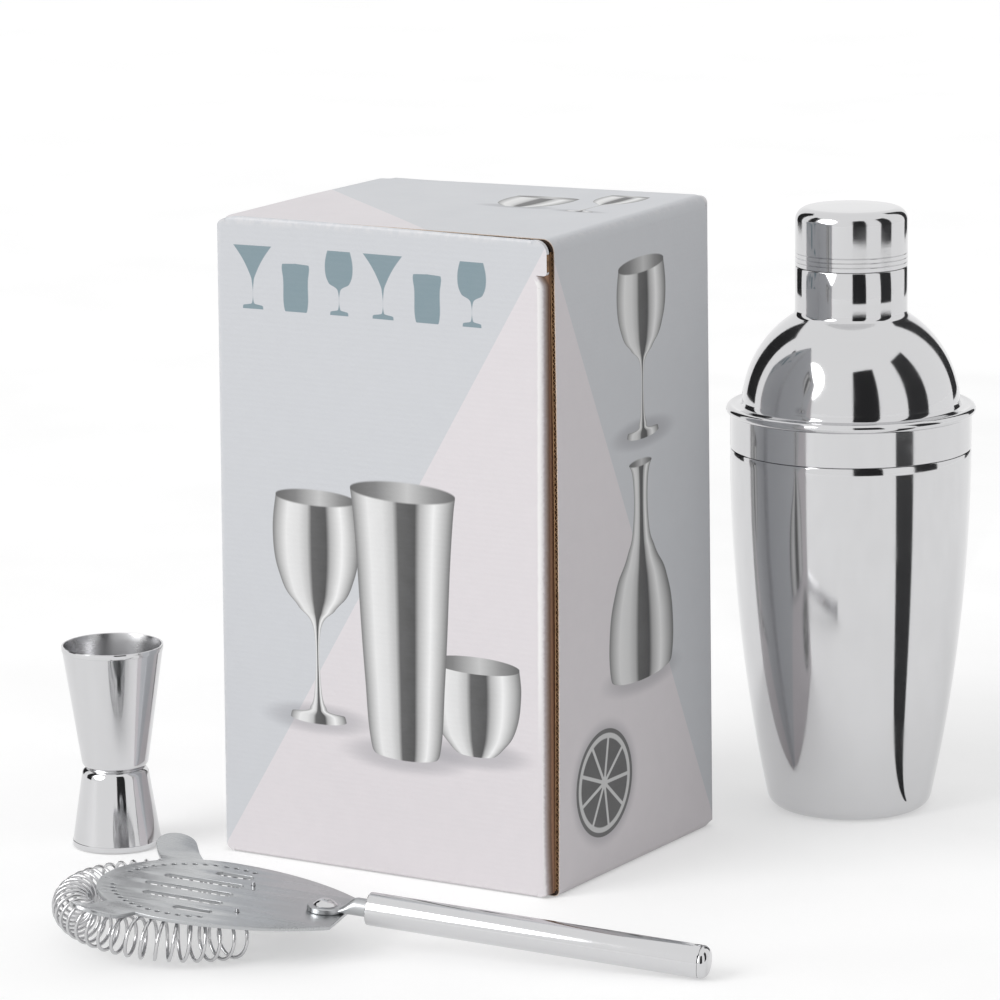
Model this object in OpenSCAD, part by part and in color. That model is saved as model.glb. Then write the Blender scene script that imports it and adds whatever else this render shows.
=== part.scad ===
// Cocktail shaker set: a tuck-top carton with a three-piece shaker, a jigger and a coil strainer beside it.
// Sizes are in millimetres. The origin is the centre of the carton's base, +Z is up, the front faces -Y.

/* [Carton] */
// Width of the carton across its front
carton_w = 133; // [115:1:160]
// Depth of the carton from front to back
carton_d = 112; // [104:1:140]
// Height of the closed carton
carton_h = 225; // [190:1:270]
// Thickness of the fine-fluted board
board_t = 1.6; // [1:0.1:2.2]
// Inner radius of the folds at the upright corners
fold_r = 1.4; // [0.8:0.1:3]
// Width of the glue flap inside the right panel
glue_flap_w = 18; // [10:1:30]
// Height of the unfolded tab of the front panel above the glue flap
corner_tab_h = 12; // [8:1:25]
// Radius of the rounded corners of the front panel and the tuck flaps
flap_corner_r = 4.5; // [2:0.5:8]
// Length of the tuck flaps
tuck_len = 34; // [20:1:40]
// Lean of the tuck flaps into the carton, in degrees
tuck_lean = 12; // [9:1:16]
// Length of the dust flaps from the fold to the tip
dust_len = 46; // [25:1:48]
// Taper of the dust flaps at the hinge side, in degrees
dust_taper = 35; // [30:1:45]
// Clearance between board faces
board_gap = 0.2; // [0.1:0.05:0.4]
// Clearance between a tuck flap and the left panel
tuck_gap = 0.6; // [0.4:0.1:1.5]

/* [Shaker] */
// Height of the cup
cup_h = 131.5; // [110:0.5:160]
// Diameter of the cup at its mouth
cup_mouth_d = 86; // [82:0.5:96]
// Diameter that the side of the cup would reach at the floor
cup_base_d = 57.5; // [48:0.5:70]
// Radius of the pressed corner round the base of the cup
cup_corner_r = 5.5; // [3:0.5:9]
// Thickness of the pressed steel
steel_t = 0.8; // [0.5:0.05:1.2]
// Height of the skirt under the bead of the strainer top
skirt_h = 14; // [8:0.5:20]
// How far the rolled bead stands out from the skirt
bead_proud = 1.5; // [0.8:0.1:2.5]
// Height of the rolled bead
bead_h = 3.2; // [2.4:0.1:5]
// Diameter of the round dome
dome_d = 77.8; // [66:0.2:80]
// Diameter of the neck and the cap
neck_d = 40; // [32:0.5:48]
// Height of the plain neck above the dome
neck_h = 17; // [10:0.5:25]
// Radius of the hollow fillet between the dome and the neck
neck_fillet_r = 2.5; // [1:0.25:5]
// Length of the spigot that plugs into the cup
plug_len = 12; // [6:0.5:20]
// Height of the sieve spigot under the cap
sieve_h = 12; // [6:0.5:15]
// Diameter of the holes in the sieve
sieve_hole_d = 3; // [2:0.25:3.5]
// Height of the cap
cap_h = 21; // [18:0.5:30]
// Radius of the upper edge of the cap
cap_edge_r = 4.5; // [2:0.5:6]
// Spacing of the engraved lines round the cap
cap_line_pitch = 1.6; // [1:0.1:2.5]
// Clearance of the slip fits
slip_fit = 0.15; // [0.1:0.05:0.3]
// Gap at the parting lines
parting_gap = 0.1; // [0.05:0.05:0.3]
// Distance of the shaker's axis to the right of the carton
shaker_right = 30; // [20:1:60]
// Space between the shaker's bead and the plane of the carton's back
shaker_behind = 5; // [4:1:30]

/* [Jigger] */
// Height of the large measure
large_h = 44; // [36:0.5:55]
// Mouth of the large measure
large_d = 36; // [30:0.5:44]
// Height of the small measure
small_h = 28; // [20:0.5:36]
// Mouth of the small measure
small_d = 31.6; // [28:0.2:40]
// Diameter of the waist where the two measures are welded
waist_d = 23; // [18:0.5:26]
// Bevel at the closed end of each measure
waist_bevel = 1.2; // [0.8:0.1:2]
// Space between the jigger and the plane of the carton's left panel
jigger_left = 23.5; // [15:0.5:60]
// Distance of the jigger's axis in front of the plane of the carton's front
jigger_front = 11; // [0:1:40]

/* [Strainer] */
// Width of the strainer plate
plate_d = 68; // [62:0.5:74]
// Length of the plate's tail behind the middle of its round front
tail_len = 50.6; // [46:0.2:60]
// Width of the blunt end of the tail
tail_w = 31.6; // [26:0.2:38]
// Thickness of the plate
plate_t = 1.2; // [0.8:0.1:1.6]
// Reach of the ears from the middle of the round front
ear_reach = 53; // [49:0.5:58]
// Width of the ears
ear_w = 14; // [10:0.5:16]
// Direction of the ears from the handle, in degrees
ear_angle = 120; // [110:1:128]
// Upward bend of the ear tips, in degrees
ear_bend = 18; // [8:1:30]
// Width of the drain slots
slot_w = 4.2; // [3:0.1:5]
// Spacing of the drain slots
slot_pitch = 10.3; // [8:0.1:11]
// Length of the middle slot
slot_mid_len = 30.7; // [24:0.1:34]
// Length of the slots beside it
slot_next_len = 27.7; // [20:0.1:30]
// Length of the outer slots
slot_outer_len = 13.3; // [9:0.1:16]
// How far the slots reach towards the handle
slot_back = 11.6; // [8:0.1:12]
// Diameter of the small drain holes
drain_d = 1.8; // [1.2:0.1:2.2]
// Distance of the rows of drain holes from the edge
drain_inset = 5.5; // [4:0.1:6]
// Outer diameter of the coil
coil_d = 14; // [11:0.5:16]
// Diameter of the spring wire
wire_d = 1.2; // [0.9:0.1:1.5]
// Number of turns of the coil
coil_turns = 40; // [30:1:46]
// How far the coil stands out beyond the front of the plate
coil_overhang = 15; // [11:0.5:18]
// How far the middle of the coil's ring lies in front of the middle of the plate
coil_shift = 9; // [6:0.5:11]
// Diameter of the handle tube
handle_d = 11; // [9:0.5:13]
// Length of the handle tube
handle_len = 112; // [90:1:130]
// Diameter of the shank between the plate and the handle
shank_d = 6; // [5:0.25:7]
// Length of bare shank between the plate and the handle
shank_bare = 8; // [4:0.5:14]
// Diameter of the rivet's head
rivet_d = 8; // [6.5:0.5:9]
// Distance of the rivet from the end of the tail
rivet_inset = 7; // [6:0.5:10]
// Distance of the strainer's head in front of the plane of the carton's front
strainer_front = 97; // [80:1:130]
// Distance of the strainer's head to the left of the carton's middle
strainer_left = 12; // [0:1:40]
// Direction of the handle, in degrees from the carton's front edge
strainer_turn = 14; // [0:1:25]

/* [Hidden] */
$fn = 96;
eps = 0.01;

// Carton: hinge lines run along the middle of the board
nose_r = board_t / 2;
fold_out_r = fold_r + board_t;
crease_gap = board_gap / 2;
hinge_z = carton_h - nose_r;
hinge_x = carton_w / 2 - nose_r;
dust_y = carton_d / 2 - nose_r;
ramp_run = 1.5 * board_t;
ramp_drop = board_t + board_gap;
ramp_angle = atan2(ramp_drop, ramp_run);
lid_half = dust_y - ramp_run - 2 * board_gap;
tuck_x = -carton_w / 2 + board_t + tuck_gap + nose_r;
lid_left = tuck_x + (nose_r * (1 + sin(tuck_lean)) + crease_gap) / cos(tuck_lean);
tuck_half = lid_half - board_t;
tuck_reach = tuck_x + tuck_len * sin(tuck_lean) + board_t;
seam_x = carton_w / 2 - board_t - board_gap;
panel_edge = board_t + crease_gap;
// The crease under a dust flap is pressed in until the ramp of the flap clears the panel
dust_crease = (nose_r + crease_gap + nose_r * sin(ramp_angle)) / cos(ramp_angle) + nose_r;
dust_root_left = -carton_w / 2 + fold_out_r + board_t;
dust_root_right = seam_x - flap_corner_r;
dust_left = tuck_reach + board_t;
mitre = 2 * fold_out_r;

// Shaker
shaker_x = carton_w / 2 + shaker_right;
shaker_y = carton_d / 2 + shaker_behind + cup_mouth_d / 2 + bead_proud;
cup_r = cup_mouth_d / 2;
cup_flare = cup_r - cup_base_d / 2;
cup_arc_r = (cup_h * cup_h + cup_flare * cup_flare) / (2 * cup_flare);
skirt_z = cup_h + parting_gap;
bead_z = skirt_z + skirt_h;
dome_r = dome_d / 2;
dome_z = bead_z + bead_h / 4;
neck_r = neck_d / 2;
neck_z = dome_z + sqrt(dome_r * dome_r - neck_r * neck_r) + neck_h;
plug_r = cup_r - steel_t - slip_fit;
sieve_r = neck_r - steel_t - slip_fit;
sieve_ring_step = 0.31 * sieve_r;
cap_z = neck_z + parting_gap;
groove_w = cap_line_pitch / 4;
groove_depth = steel_t / 4;

// Jigger
jigger_x = -carton_w / 2 - jigger_left - small_d / 2;
jigger_y = -carton_d / 2 - jigger_front;

// Strainer, in its own frame: +X along the handle, the plate's underside at Z = 0
plate_r = plate_d / 2;
tail_drop = plate_r - tail_w / 2;
tail_arc_r = (tail_len * tail_len + tail_drop * tail_drop) / (2 * tail_drop);
ear_bend_r = plate_r + ear_w / 2;
ring_r = plate_r + coil_overhang - coil_shift - coil_d / 2;
turn_r = (coil_d - wire_d) / 2;
coil_z = -coil_d / 2 - crease_gap;
coil_start = 30;
coil_end = 330;
turn_start = 180;
turn_sweep = 360 * coil_turns - 90;
leg_out = wire_d;
leg_bend_r = 0.7 * wire_d;
leg_hole_d = 1.5 * wire_d;
// The rows of drain holes run from beside the front of the plate to behind the ears
drain_from = 16;
drain_to = 112;
wire_sides = 6;
wire_steps = 12;
rivet_x = tail_len - rivet_inset;
rivet_pin_d = rivet_d / 2;
rivet_head_h = rivet_d / 4;
eye_d = 1.5 * rivet_d;
eye_t = shank_d / 3;
handle_z = plate_t + shank_d / 2;
handle_x = tail_len + shank_bare;
handle_end = handle_x + handle_len;
tube_in_d = handle_d - 2 * steel_t;
socket_len = 2 * handle_d;
plug_flange = handle_d / 4;
// The strainer lies on the rear of its coil and on the end of its handle
rest_x = -coil_shift + ring_r * cos(coil_start);
rest_run = handle_end - rest_x;
rest_rise = handle_z - coil_z;
rest_tilt = atan2(rest_rise, rest_run) + asin((coil_d - handle_d) / 2 / norm([rest_run, rest_rise]));
strainer_z = coil_d / 2 + rest_x * sin(rest_tilt) - coil_z * cos(rest_tilt);

pale_print = [0.86, 0.86, 0.88];
steel = [0.78, 0.79, 0.80];
dark_steel = [0.62, 0.63, 0.65];

// Plain shapes that repeat

module rounded_rect(w, d, r) {
    square([w - 2 * r, d], center = true);
    square([w, d - 2 * r], center = true);
    for (x = [-1, 1], y = [-1, 1])
        translate([x * (w / 2 - r), y * (d / 2 - r)]) circle(r);
}

// The wrap of the carton seen from above, one board thick
module wrap_2d() {
    difference() {
        rounded_rect(carton_w, carton_d, fold_out_r);
        rounded_rect(carton_w - 2 * board_t, carton_d - 2 * board_t, fold_r);
    }
}

// The share of the wrap on one side, cut at 45 degrees through the corner folds
module wrap_side(half_len, depth, turn) {
    intersection() {
        wrap_2d();
        rotate(turn) polygon([[-half_len, -depth], [half_len, -depth],
            [half_len - mitre, mitre - depth], [mitre - half_len, mitre - depth]]);
    }
}

// The wrap again with its right side one board further in, where the glue flap lies behind the right panel
module seam_wrap_2d() {
    seam_w = carton_w / 2 + seam_x;
    translate([seam_x - seam_w / 2, 0]) difference() {
        rounded_rect(seam_w, carton_d, fold_out_r);
        rounded_rect(seam_w - 2 * board_t, carton_d - 2 * board_t, fold_r);
    }
}

// The front panel's share of it, cut at 45 degrees through both corner folds
module front_2d() {
    intersection() {
        seam_wrap_2d();
        polygon([[-carton_w / 2, -carton_d / 2], [seam_x, -carton_d / 2],
            [seam_x - mitre, mitre - carton_d / 2], [mitre - carton_w / 2, mitre - carton_d / 2]]);
    }
}

module upright(z0, z1) {
    translate([0, 0, z0]) linear_extrude(z1 - z0) children();
}

// Profile in the XZ plane drawn out along Y, centred
module along_y(half) {
    rotate([90, 0, 0]) linear_extrude(2 * half, center = true) children();
}

// Profile in the YZ plane drawn out along X from x0 to x1
module along_x(x0, x1) {
    translate([x0, 0, 0]) rotate([90, 0, 90]) linear_extrude(x1 - x0) children();
}

// The same closure serves the top and the base, turned over
module at_base() {
    translate([0, 0, carton_h]) mirror([0, 0, 1]) children();
}

module closure_panel() {
    translate([0, 0, hinge_z]) along_y(lid_half) {
        translate([lid_left, -nose_r]) square([hinge_x - lid_left, board_t]);
        translate([hinge_x, 0]) circle(nose_r);
    }
}

module closure_tuck() {
    translate([tuck_x, 0, hinge_z]) {
        along_y(tuck_half) circle(nose_r);
        rotate([0, -tuck_lean, 0]) translate([-nose_r, 0, 0]) along_x(0, board_t) {
            translate([-tuck_half, flap_corner_r - tuck_len])
                square([2 * tuck_half, tuck_len - flap_corner_r]);
            translate([flap_corner_r - tuck_half, -tuck_len])
                square([2 * (tuck_half - flap_corner_r), tuck_len]);
            for (side = [-1, 1])
                translate([side * (tuck_half - flap_corner_r), flap_corner_r - tuck_len])
                    circle(flap_corner_r);
        }
    }
}

// The dust flap's fold stands as high as the lid, then dips under it
module closure_dust() {
    translate([0, -dust_y, hinge_z]) {
        along_x(dust_root_left, dust_root_right) {
            circle(nose_r);
            translate([ramp_run, -ramp_drop]) circle(nose_r);
            rotate(-ramp_angle) translate([0, -nose_r]) square([norm([ramp_run, ramp_drop]), board_t]);
        }
        translate([0, 0, -ramp_drop - nose_r]) linear_extrude(board_t) polygon([
            [dust_left, ramp_run], [dust_root_right, ramp_run],
            [dust_root_right - (dust_len - ramp_run) * tan(dust_taper), dust_len],
            [dust_left + tuck_gap + board_t, dust_len]]);
    }
}

// Solid of the cup, drawn in from its outside by inset
module cup_2d(inset) {
    arc_r = cup_arc_r - inset;
    arc_x = cup_r - cup_arc_r;
    corner_r = cup_corner_r - inset;
    corner_x = arc_x + sqrt(pow(cup_arc_r - cup_corner_r, 2) - pow(cup_h - cup_corner_r, 2));
    corner_top = cup_corner_r - corner_r * (cup_h - cup_corner_r) / (cup_arc_r - cup_corner_r);
    intersection() {
        translate([arc_x, cup_h]) circle(arc_r, $fn = 1440);
        translate([0, corner_top]) square([cup_r, cup_h - corner_top + (inset > 0 ? 1 : 0)]);
    }
    translate([0, inset]) square([corner_x, cup_corner_r]);
    intersection() {
        translate([corner_x, cup_corner_r]) circle(corner_r);
        square([cup_r, cup_corner_r]);
    }
}

// Solid of the strainer top from the bead upwards, drawn in by inset
module dome_2d(inset) {
    r = dome_r - inset;
    intersection() {
        translate([0, dome_z]) circle(r, $fn = 240);
        translate([0, bead_z - steel_t]) square([dome_r, dome_r + bead_h]);
    }
    translate([0, dome_z]) square([neck_r - inset, neck_z - inset - dome_z]);
    translate([0, dome_z]) square([sieve_r - inset, neck_z + sieve_h - inset - dome_z]);
}

// Hollow fillet between the dome and the neck
module neck_fillet_2d() {
    fillet_x = neck_r + neck_fillet_r;
    fillet_up = sqrt(pow(dome_r + neck_fillet_r, 2) - pow(fillet_x, 2));
    difference() {
        translate([0, dome_z]) polygon([[0, 0], [fillet_x, fillet_up] * dome_r / (dome_r + neck_fillet_r),
            [fillet_x, fillet_up], [0, fillet_up]]);
        translate([fillet_x, dome_z + fillet_up]) circle(neck_fillet_r);
    }
}

module cap_2d(inset) {
    r = cap_edge_r - inset;
    translate([0, inset > 0 ? -1 : 0]) square([neck_r - inset, cap_h - cap_edge_r + (inset > 0 ? 1 : 0)]);
    square([neck_r - cap_edge_r, cap_h - inset]);
    translate([neck_r - cap_edge_r, cap_h - cap_edge_r]) circle(r);
}

// One measure of the jigger standing on its closed end
module measure(h, mouth_d) {
    waist_r = waist_d / 2;
    slope = (mouth_d / 2 - waist_r) / h;
    rotate_extrude() difference() {
        polygon([[0, 0], [waist_r - waist_bevel, 0], [waist_r + slope * waist_bevel, waist_bevel],
            [mouth_d / 2, h], [0, h]]);
        polygon([[0, steel_t], [waist_r - waist_bevel, steel_t],
            [waist_r - steel_t + slope * (steel_t + waist_bevel), steel_t + waist_bevel],
            [mouth_d / 2 - steel_t + slope, h + 1], [0, h + 1]]);
    }
}

module at_shaker() {
    translate([shaker_x, shaker_y, 0]) children();
}

module at_strainer() {
    translate([-strainer_left, -carton_d / 2 - strainer_front, strainer_z])
        rotate([0, 0, strainer_turn]) rotate([0, rest_tilt, 0]) children();
}

// Points of the spring: each row holds a place, a direction across the wire and a direction along it

function ring_dir(a) = [cos(a), sin(a), 0];
function ring_along(a) = [-sin(a), cos(a), 0];
function turn_at(i, n) = turn_start + turn_sweep * i / n;
function ring_at(i, n) = coil_start + (coil_end - coil_start) * i / n;
function unit(v) = v / norm(v);
function wire_place(a, p) =
    [-coil_shift, 0, coil_z] + (ring_r + turn_r * cos(p)) * ring_dir(a) + [0, 0, turn_r * sin(p)];
function wire_out(a, p) = cos(p) * ring_dir(a) + [0, 0, sin(p)];
function wire_along(a, p) = unit(turn_r * (-sin(p) * ring_dir(a) + [0, 0, cos(p)])
    + (ring_r + turn_r * cos(p)) * (coil_end - coil_start) / turn_sweep * ring_along(a));
function at_height(v, z) = [v[0], v[1], z];

coil_steps = round(turn_sweep / 360 * wire_steps);
start_place = wire_place(coil_start, turn_start);
end_place = wire_place(coil_end, turn_start + turn_sweep);
end_leg = end_place - leg_bend_r * ring_dir(coil_end);
wire_rows = concat(
    [[at_height(start_place, plate_t + leg_out), -ring_dir(coil_start), [0, 0, -1]]],
    [for (i = [0:coil_steps]) let (a = ring_at(i, coil_steps), p = turn_at(i, coil_steps))
        [wire_place(a, p), wire_out(a, p), wire_along(a, p)]],
    [for (b = [30:30:90])
        [end_place - leg_bend_r * sin(b) * ring_dir(coil_end) + [0, 0, leg_bend_r * (1 - cos(b))],
            cos(b) * [0, 0, 1] + sin(b) * ring_dir(coil_end),
            sin(b) * [0, 0, 1] - cos(b) * ring_dir(coil_end)]],
    [[at_height(end_leg, plate_t + leg_out), ring_dir(coil_end), [0, 0, 1]]]);
wire_points = [for (row = wire_rows)
    let (across = unit(row[1] - (row[1] * row[2]) * row[2]), third = cross(row[2], across))
    for (k = [0:wire_sides - 1])
        row[0] + wire_d / 2 * (cos(360 * k / wire_sides) * across + sin(360 * k / wire_sides) * third)];
last_row = len(wire_rows) - 1;
wire_faces = concat(
    [[for (k = [0:wire_sides - 1]) k]],
    [for (i = [0:last_row - 1], k = [0:wire_sides - 1])
        let (near = i * wire_sides, far = near + wire_sides, next = (k + 1) % wire_sides)
        each [[near + k, far + k, far + next], [near + k, far + next, near + next]]],
    [[for (k = [wire_sides - 1:-1:0]) last_row * wire_sides + k]]);

// Carton

// The tab at the upper right corner stands beside the fold of the dust flap, as high as the lid
module front_panel() {
    corner_z = carton_h - flap_corner_r;
    color(pale_print) difference() {
        union() {
            upright(dust_crease, carton_h - corner_tab_h) front_2d();
            upright(dust_crease, carton_h - dust_crease) intersection() {
                front_2d();
                translate([-carton_w, -carton_d]) square([carton_w + seam_x - fold_out_r, carton_d]);
            }
            upright(carton_h - corner_tab_h + board_gap, carton_h)
                translate([dust_root_right + board_gap, -carton_d / 2]) square([flap_corner_r - board_gap, board_t]);
        }
        translate([0, -carton_d / 2, 0]) along_y(2 * board_t) difference() {
            translate([dust_root_right, corner_z]) square(2 * flap_corner_r);
            translate([dust_root_right, corner_z]) circle(flap_corner_r);
        }
    }
}

module left_panel() {
    color(pale_print) upright(board_t, carton_h - board_t) wrap_side(carton_d / 2, carton_w / 2, -90);
}

module back_panel() {
    color(pale_print) upright(dust_crease, carton_h - dust_crease) wrap_side(carton_w / 2, carton_d / 2, 180);
}

module right_panel() {
    color(pale_print) upright(panel_edge, carton_h - panel_edge) {
        intersection() {
            wrap_side(carton_d / 2, carton_w / 2, 90);
            square([carton_w, carton_d]);
        }
        translate([carton_w / 2 - board_t, -lid_half]) square([board_t, lid_half + eps]);
    }
}

module glue_flap() {
    flap_y = fold_out_r + glue_flap_w - carton_d / 2;
    color(pale_print) upright(dust_crease, carton_h - corner_tab_h) intersection() {
        seam_wrap_2d();
        polygon([[seam_x, -carton_d / 2], [seam_x, flap_y],
            [seam_x - mitre, flap_y], [seam_x - mitre, mitre - carton_d / 2]]);
    }
}

module lid_panel() {
    color(pale_print) closure_panel();
}

module tuck_flap() {
    color(pale_print) closure_tuck();
}

module front_dust_flap() {
    color(pale_print) closure_dust();
}

module back_dust_flap() {
    color(pale_print) mirror([0, 1, 0]) closure_dust();
}

module bottom_panel() {
    color(pale_print) at_base() closure_panel();
}

module bottom_tuck_flap() {
    color(pale_print) at_base() closure_tuck();
}

module bottom_front_flap() {
    color(pale_print) at_base() closure_dust();
}

module bottom_back_flap() {
    color(pale_print) at_base() mirror([0, 1, 0]) closure_dust();
}

// Shaker

module shaker_cup() {
    color(steel) at_shaker() rotate_extrude($fn = 180) difference() {
        cup_2d(0);
        cup_2d(steel_t);
    }
}

module strainer_top() {
    joggle_h = 2 * steel_t;
    bead_r = bead_h / 2;
    color(steel) at_shaker() difference() {
        rotate_extrude($fn = 180) difference() {
            union() {
                translate([0, skirt_z - plug_len]) square([plug_r, plug_len + eps]);
                translate([0, skirt_z]) square([cup_r, skirt_h]);
                translate([cup_r + bead_proud - bead_r, bead_z]) circle(bead_r);
                dome_2d(0);
                neck_fillet_2d();
            }
            translate([0, skirt_z - plug_len - 1]) square([plug_r - steel_t, plug_len + joggle_h + 1]);
            translate([0, skirt_z + joggle_h]) square([cup_r - steel_t, skirt_h - steel_t - joggle_h]);
            dome_2d(steel_t);
        }
        for (ring = [0:2], i = [0:max(1, 6 * ring) - 1])
            rotate(i * 360 / max(1, 6 * ring)) translate([ring * sieve_ring_step, 0, neck_z])
                cylinder(d = sieve_hole_d, h = 2 * sieve_h, $fn = 32);
    }
}

module shaker_cap() {
    color(steel) at_shaker() translate([0, 0, cap_z]) rotate_extrude($fn = 180) difference() {
        cap_2d(0);
        cap_2d(steel_t);
        for (i = [1:3])
            translate([neck_r - groove_depth, i * cap_line_pitch]) square([1, groove_w]);
    }
}

// Jigger

module jigger_large_cup() {
    color(steel) translate([jigger_x, jigger_y, small_h]) measure(large_h, large_d);
}

module jigger_small_cup() {
    color(steel) translate([jigger_x, jigger_y, small_h]) mirror([0, 0, 1]) measure(small_h, small_d);
}

// Strainer

module slot_2d(len) {
    translate([slot_back - slot_w / 2, 0]) circle(d = slot_w);
    translate([slot_back - len + slot_w / 2, 0]) circle(d = slot_w);
    translate([slot_back - len + slot_w / 2, -slot_w / 2]) square([len - slot_w, slot_w]);
}

module plate_2d() {
    circle(plate_r);
    intersection() {
        translate([0, tail_arc_r - plate_r]) circle(tail_arc_r, $fn = 360);
        translate([0, plate_r - tail_arc_r]) circle(tail_arc_r, $fn = 360);
        translate([0, -plate_r]) square([tail_len, plate_d]);
    }
    for (side = [-1, 1])
        rotate(side * ear_angle) translate([0, -ear_w / 2]) square([ear_bend_r, ear_w]);
}

module strainer_plate() {
    slot_lens = [slot_outer_len, slot_next_len, slot_mid_len, slot_next_len, slot_outer_len];
    drain_r = plate_r - drain_inset;
    drain_step = 2 * asin(drain_d / drain_r);
    color(dark_steel) at_strainer() {
        linear_extrude(plate_t) difference() {
            plate_2d();
            for (i = [0:4])
                translate([0, (i - 2) * slot_pitch]) slot_2d(slot_lens[i]);
            for (side = [-1, 1], a = [drain_from:drain_step:drain_to])
                rotate(180 + side * a) translate([drain_r, 0]) circle(d = drain_d, $fn = 24);
            translate([start_place[0], start_place[1]]) circle(d = leg_hole_d, $fn = 24);
            translate([end_leg[0], end_leg[1]]) circle(d = leg_hole_d, $fn = 24);
            translate([rivet_x, 0]) circle(d = rivet_pin_d + slip_fit, $fn = 48);
        }
        for (side = [-1, 1])
            rotate(side * ear_angle) translate([ear_bend_r, 0, 0]) rotate([0, -ear_bend, 0])
                translate([-plate_t, 0, 0]) linear_extrude(plate_t) {
                    translate([0, -ear_w / 2]) square([ear_reach - ear_bend_r - ear_w / 2 + plate_t, ear_w]);
                    translate([ear_reach - ear_bend_r - ear_w / 2 + plate_t, 0]) circle(d = ear_w);
                }
    }
}

module coil_spring() {
    color(steel) at_strainer() polyhedron(wire_points, wire_faces);
}

module handle_tang() {
    shank_end = handle_x + socket_len - rivet_x;
    color(steel) at_strainer() translate([rivet_x, 0, plate_t]) difference() {
        union() {
            cylinder(d = eye_d, h = eye_t);
            difference() {
                translate([0, 0, shank_d / 2]) rotate([0, 90, 0]) cylinder(d = shank_d, h = shank_end);
                cylinder(d = eye_d, h = 2 * shank_d);
            }
            translate([handle_x - rivet_x, 0, shank_d / 2]) rotate([0, 90, 0])
                cylinder(d = tube_in_d - 2 * slip_fit, h = socket_len);
        }
        translate([0, 0, -1]) cylinder(d = rivet_pin_d + slip_fit, h = eye_t + 2, $fn = 48);
    }
}

module tang_rivet() {
    stack = plate_t + eye_t;
    head_ball_r = (rivet_d * rivet_d / 4 + rivet_head_h * rivet_head_h) / (2 * rivet_head_h);
    color(steel) at_strainer() translate([rivet_x, 0, 0]) rotate_extrude() {
        translate([0, -rivet_head_h / 2]) square([rivet_pin_d, rivet_head_h / 2]);
        translate([0, -eps]) square([rivet_pin_d / 2, stack + 2 * eps]);
        intersection() {
            translate([0, stack + rivet_head_h - head_ball_r]) circle(head_ball_r);
            translate([0, stack]) square([rivet_d, rivet_head_h]);
        }
    }
}

module handle_tube() {
    color(steel) at_strainer() translate([handle_x, 0, handle_z]) rotate([0, 90, 0]) difference() {
        cylinder(d = handle_d, h = handle_len);
        translate([0, 0, -1]) cylinder(d = tube_in_d, h = handle_len + 2);
    }
}

module handle_end_plug() {
    flange_r = handle_d / 2;
    color(steel) at_strainer() translate([handle_end, 0, handle_z]) rotate([0, 90, 0]) rotate_extrude() {
        translate([0, -handle_d]) square([tube_in_d / 2 - slip_fit, handle_d + eps]);
        square([flange_r - plug_flange, plug_flange]);
        intersection() {
            translate([flange_r - plug_flange, 0]) circle(plug_flange);
            square([flange_r, plug_flange]);
        }
    }
}

front_panel();
left_panel();
back_panel();
right_panel();
glue_flap();
lid_panel();
tuck_flap();
front_dust_flap();
back_dust_flap();
bottom_panel();
bottom_tuck_flap();
bottom_front_flap();
bottom_back_flap();
shaker_cup();
strainer_top();
shaker_cap();
jigger_large_cup();
jigger_small_cup();
strainer_plate();
coil_spring();
handle_tang();
tang_rivet();
handle_tube();
handle_end_plug();
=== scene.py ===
import math

import bmesh
import bpy
import numpy as np
from mathutils import Matrix, Vector


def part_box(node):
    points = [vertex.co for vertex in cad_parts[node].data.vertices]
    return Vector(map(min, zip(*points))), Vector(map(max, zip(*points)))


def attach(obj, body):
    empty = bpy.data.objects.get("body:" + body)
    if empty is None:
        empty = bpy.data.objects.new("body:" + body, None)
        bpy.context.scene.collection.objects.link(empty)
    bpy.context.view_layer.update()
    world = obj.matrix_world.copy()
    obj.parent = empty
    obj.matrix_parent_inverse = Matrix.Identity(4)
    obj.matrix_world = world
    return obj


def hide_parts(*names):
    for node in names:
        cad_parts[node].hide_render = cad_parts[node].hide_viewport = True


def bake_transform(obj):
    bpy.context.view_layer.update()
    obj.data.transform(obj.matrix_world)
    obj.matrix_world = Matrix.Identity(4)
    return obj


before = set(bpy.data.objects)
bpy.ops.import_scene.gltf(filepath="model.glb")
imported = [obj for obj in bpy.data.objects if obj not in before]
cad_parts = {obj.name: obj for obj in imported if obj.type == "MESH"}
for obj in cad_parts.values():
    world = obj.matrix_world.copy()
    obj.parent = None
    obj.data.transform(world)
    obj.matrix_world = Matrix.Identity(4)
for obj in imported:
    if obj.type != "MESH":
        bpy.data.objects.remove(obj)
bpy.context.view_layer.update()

# Printed outside of the carton
# A white-lined kraft board, printed in two pale fields with grey pictures and sealed with a matt varnish.
# The flutes under the liner show faintly as ridges, and the folds are rubbed lighter.

MM = 0.001


def cad_box(node):
    """The lowest and the highest corner of a solid, in mm."""
    low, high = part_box(node)
    return np.array(low) / MM, np.array(high) / MM


HALF_W = float(cad_box("right_panel")[1][0])
HALF_D = float(cad_box("back_panel")[1][1])
TALL = float(cad_box("lid_panel")[1][2])
FLUTE = 1.9  # pitch of the waves in the board
SEAM_U = 129.6  # where the print turns in at the seam
PRINT_BLUR = 0.25  # softness of a printed edge
THINNEST = 0.03  # of a printed vessel, as a share of its widest
RING_DIP = 0.17  # how far a printed ring dips, as a share of its radius


class Field:
    """A value in a node tree. A sign between fields adds the node that works it out."""

    def __init__(self, tree, socket):
        self.tree = tree
        self.socket = socket

    def __add__(self, other):
        return calc("ADD", self, other)

    def __sub__(self, other):
        return calc("SUBTRACT", self, other)

    def __rsub__(self, other):
        return calc("SUBTRACT", other, self)

    def __mul__(self, other):
        return calc("MULTIPLY", self, other)

    def __truediv__(self, other):
        return calc("DIVIDE", self, other)

    def __abs__(self):
        return calc("ABSOLUTE", self)

    __radd__ = __add__
    __rmul__ = __mul__


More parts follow.
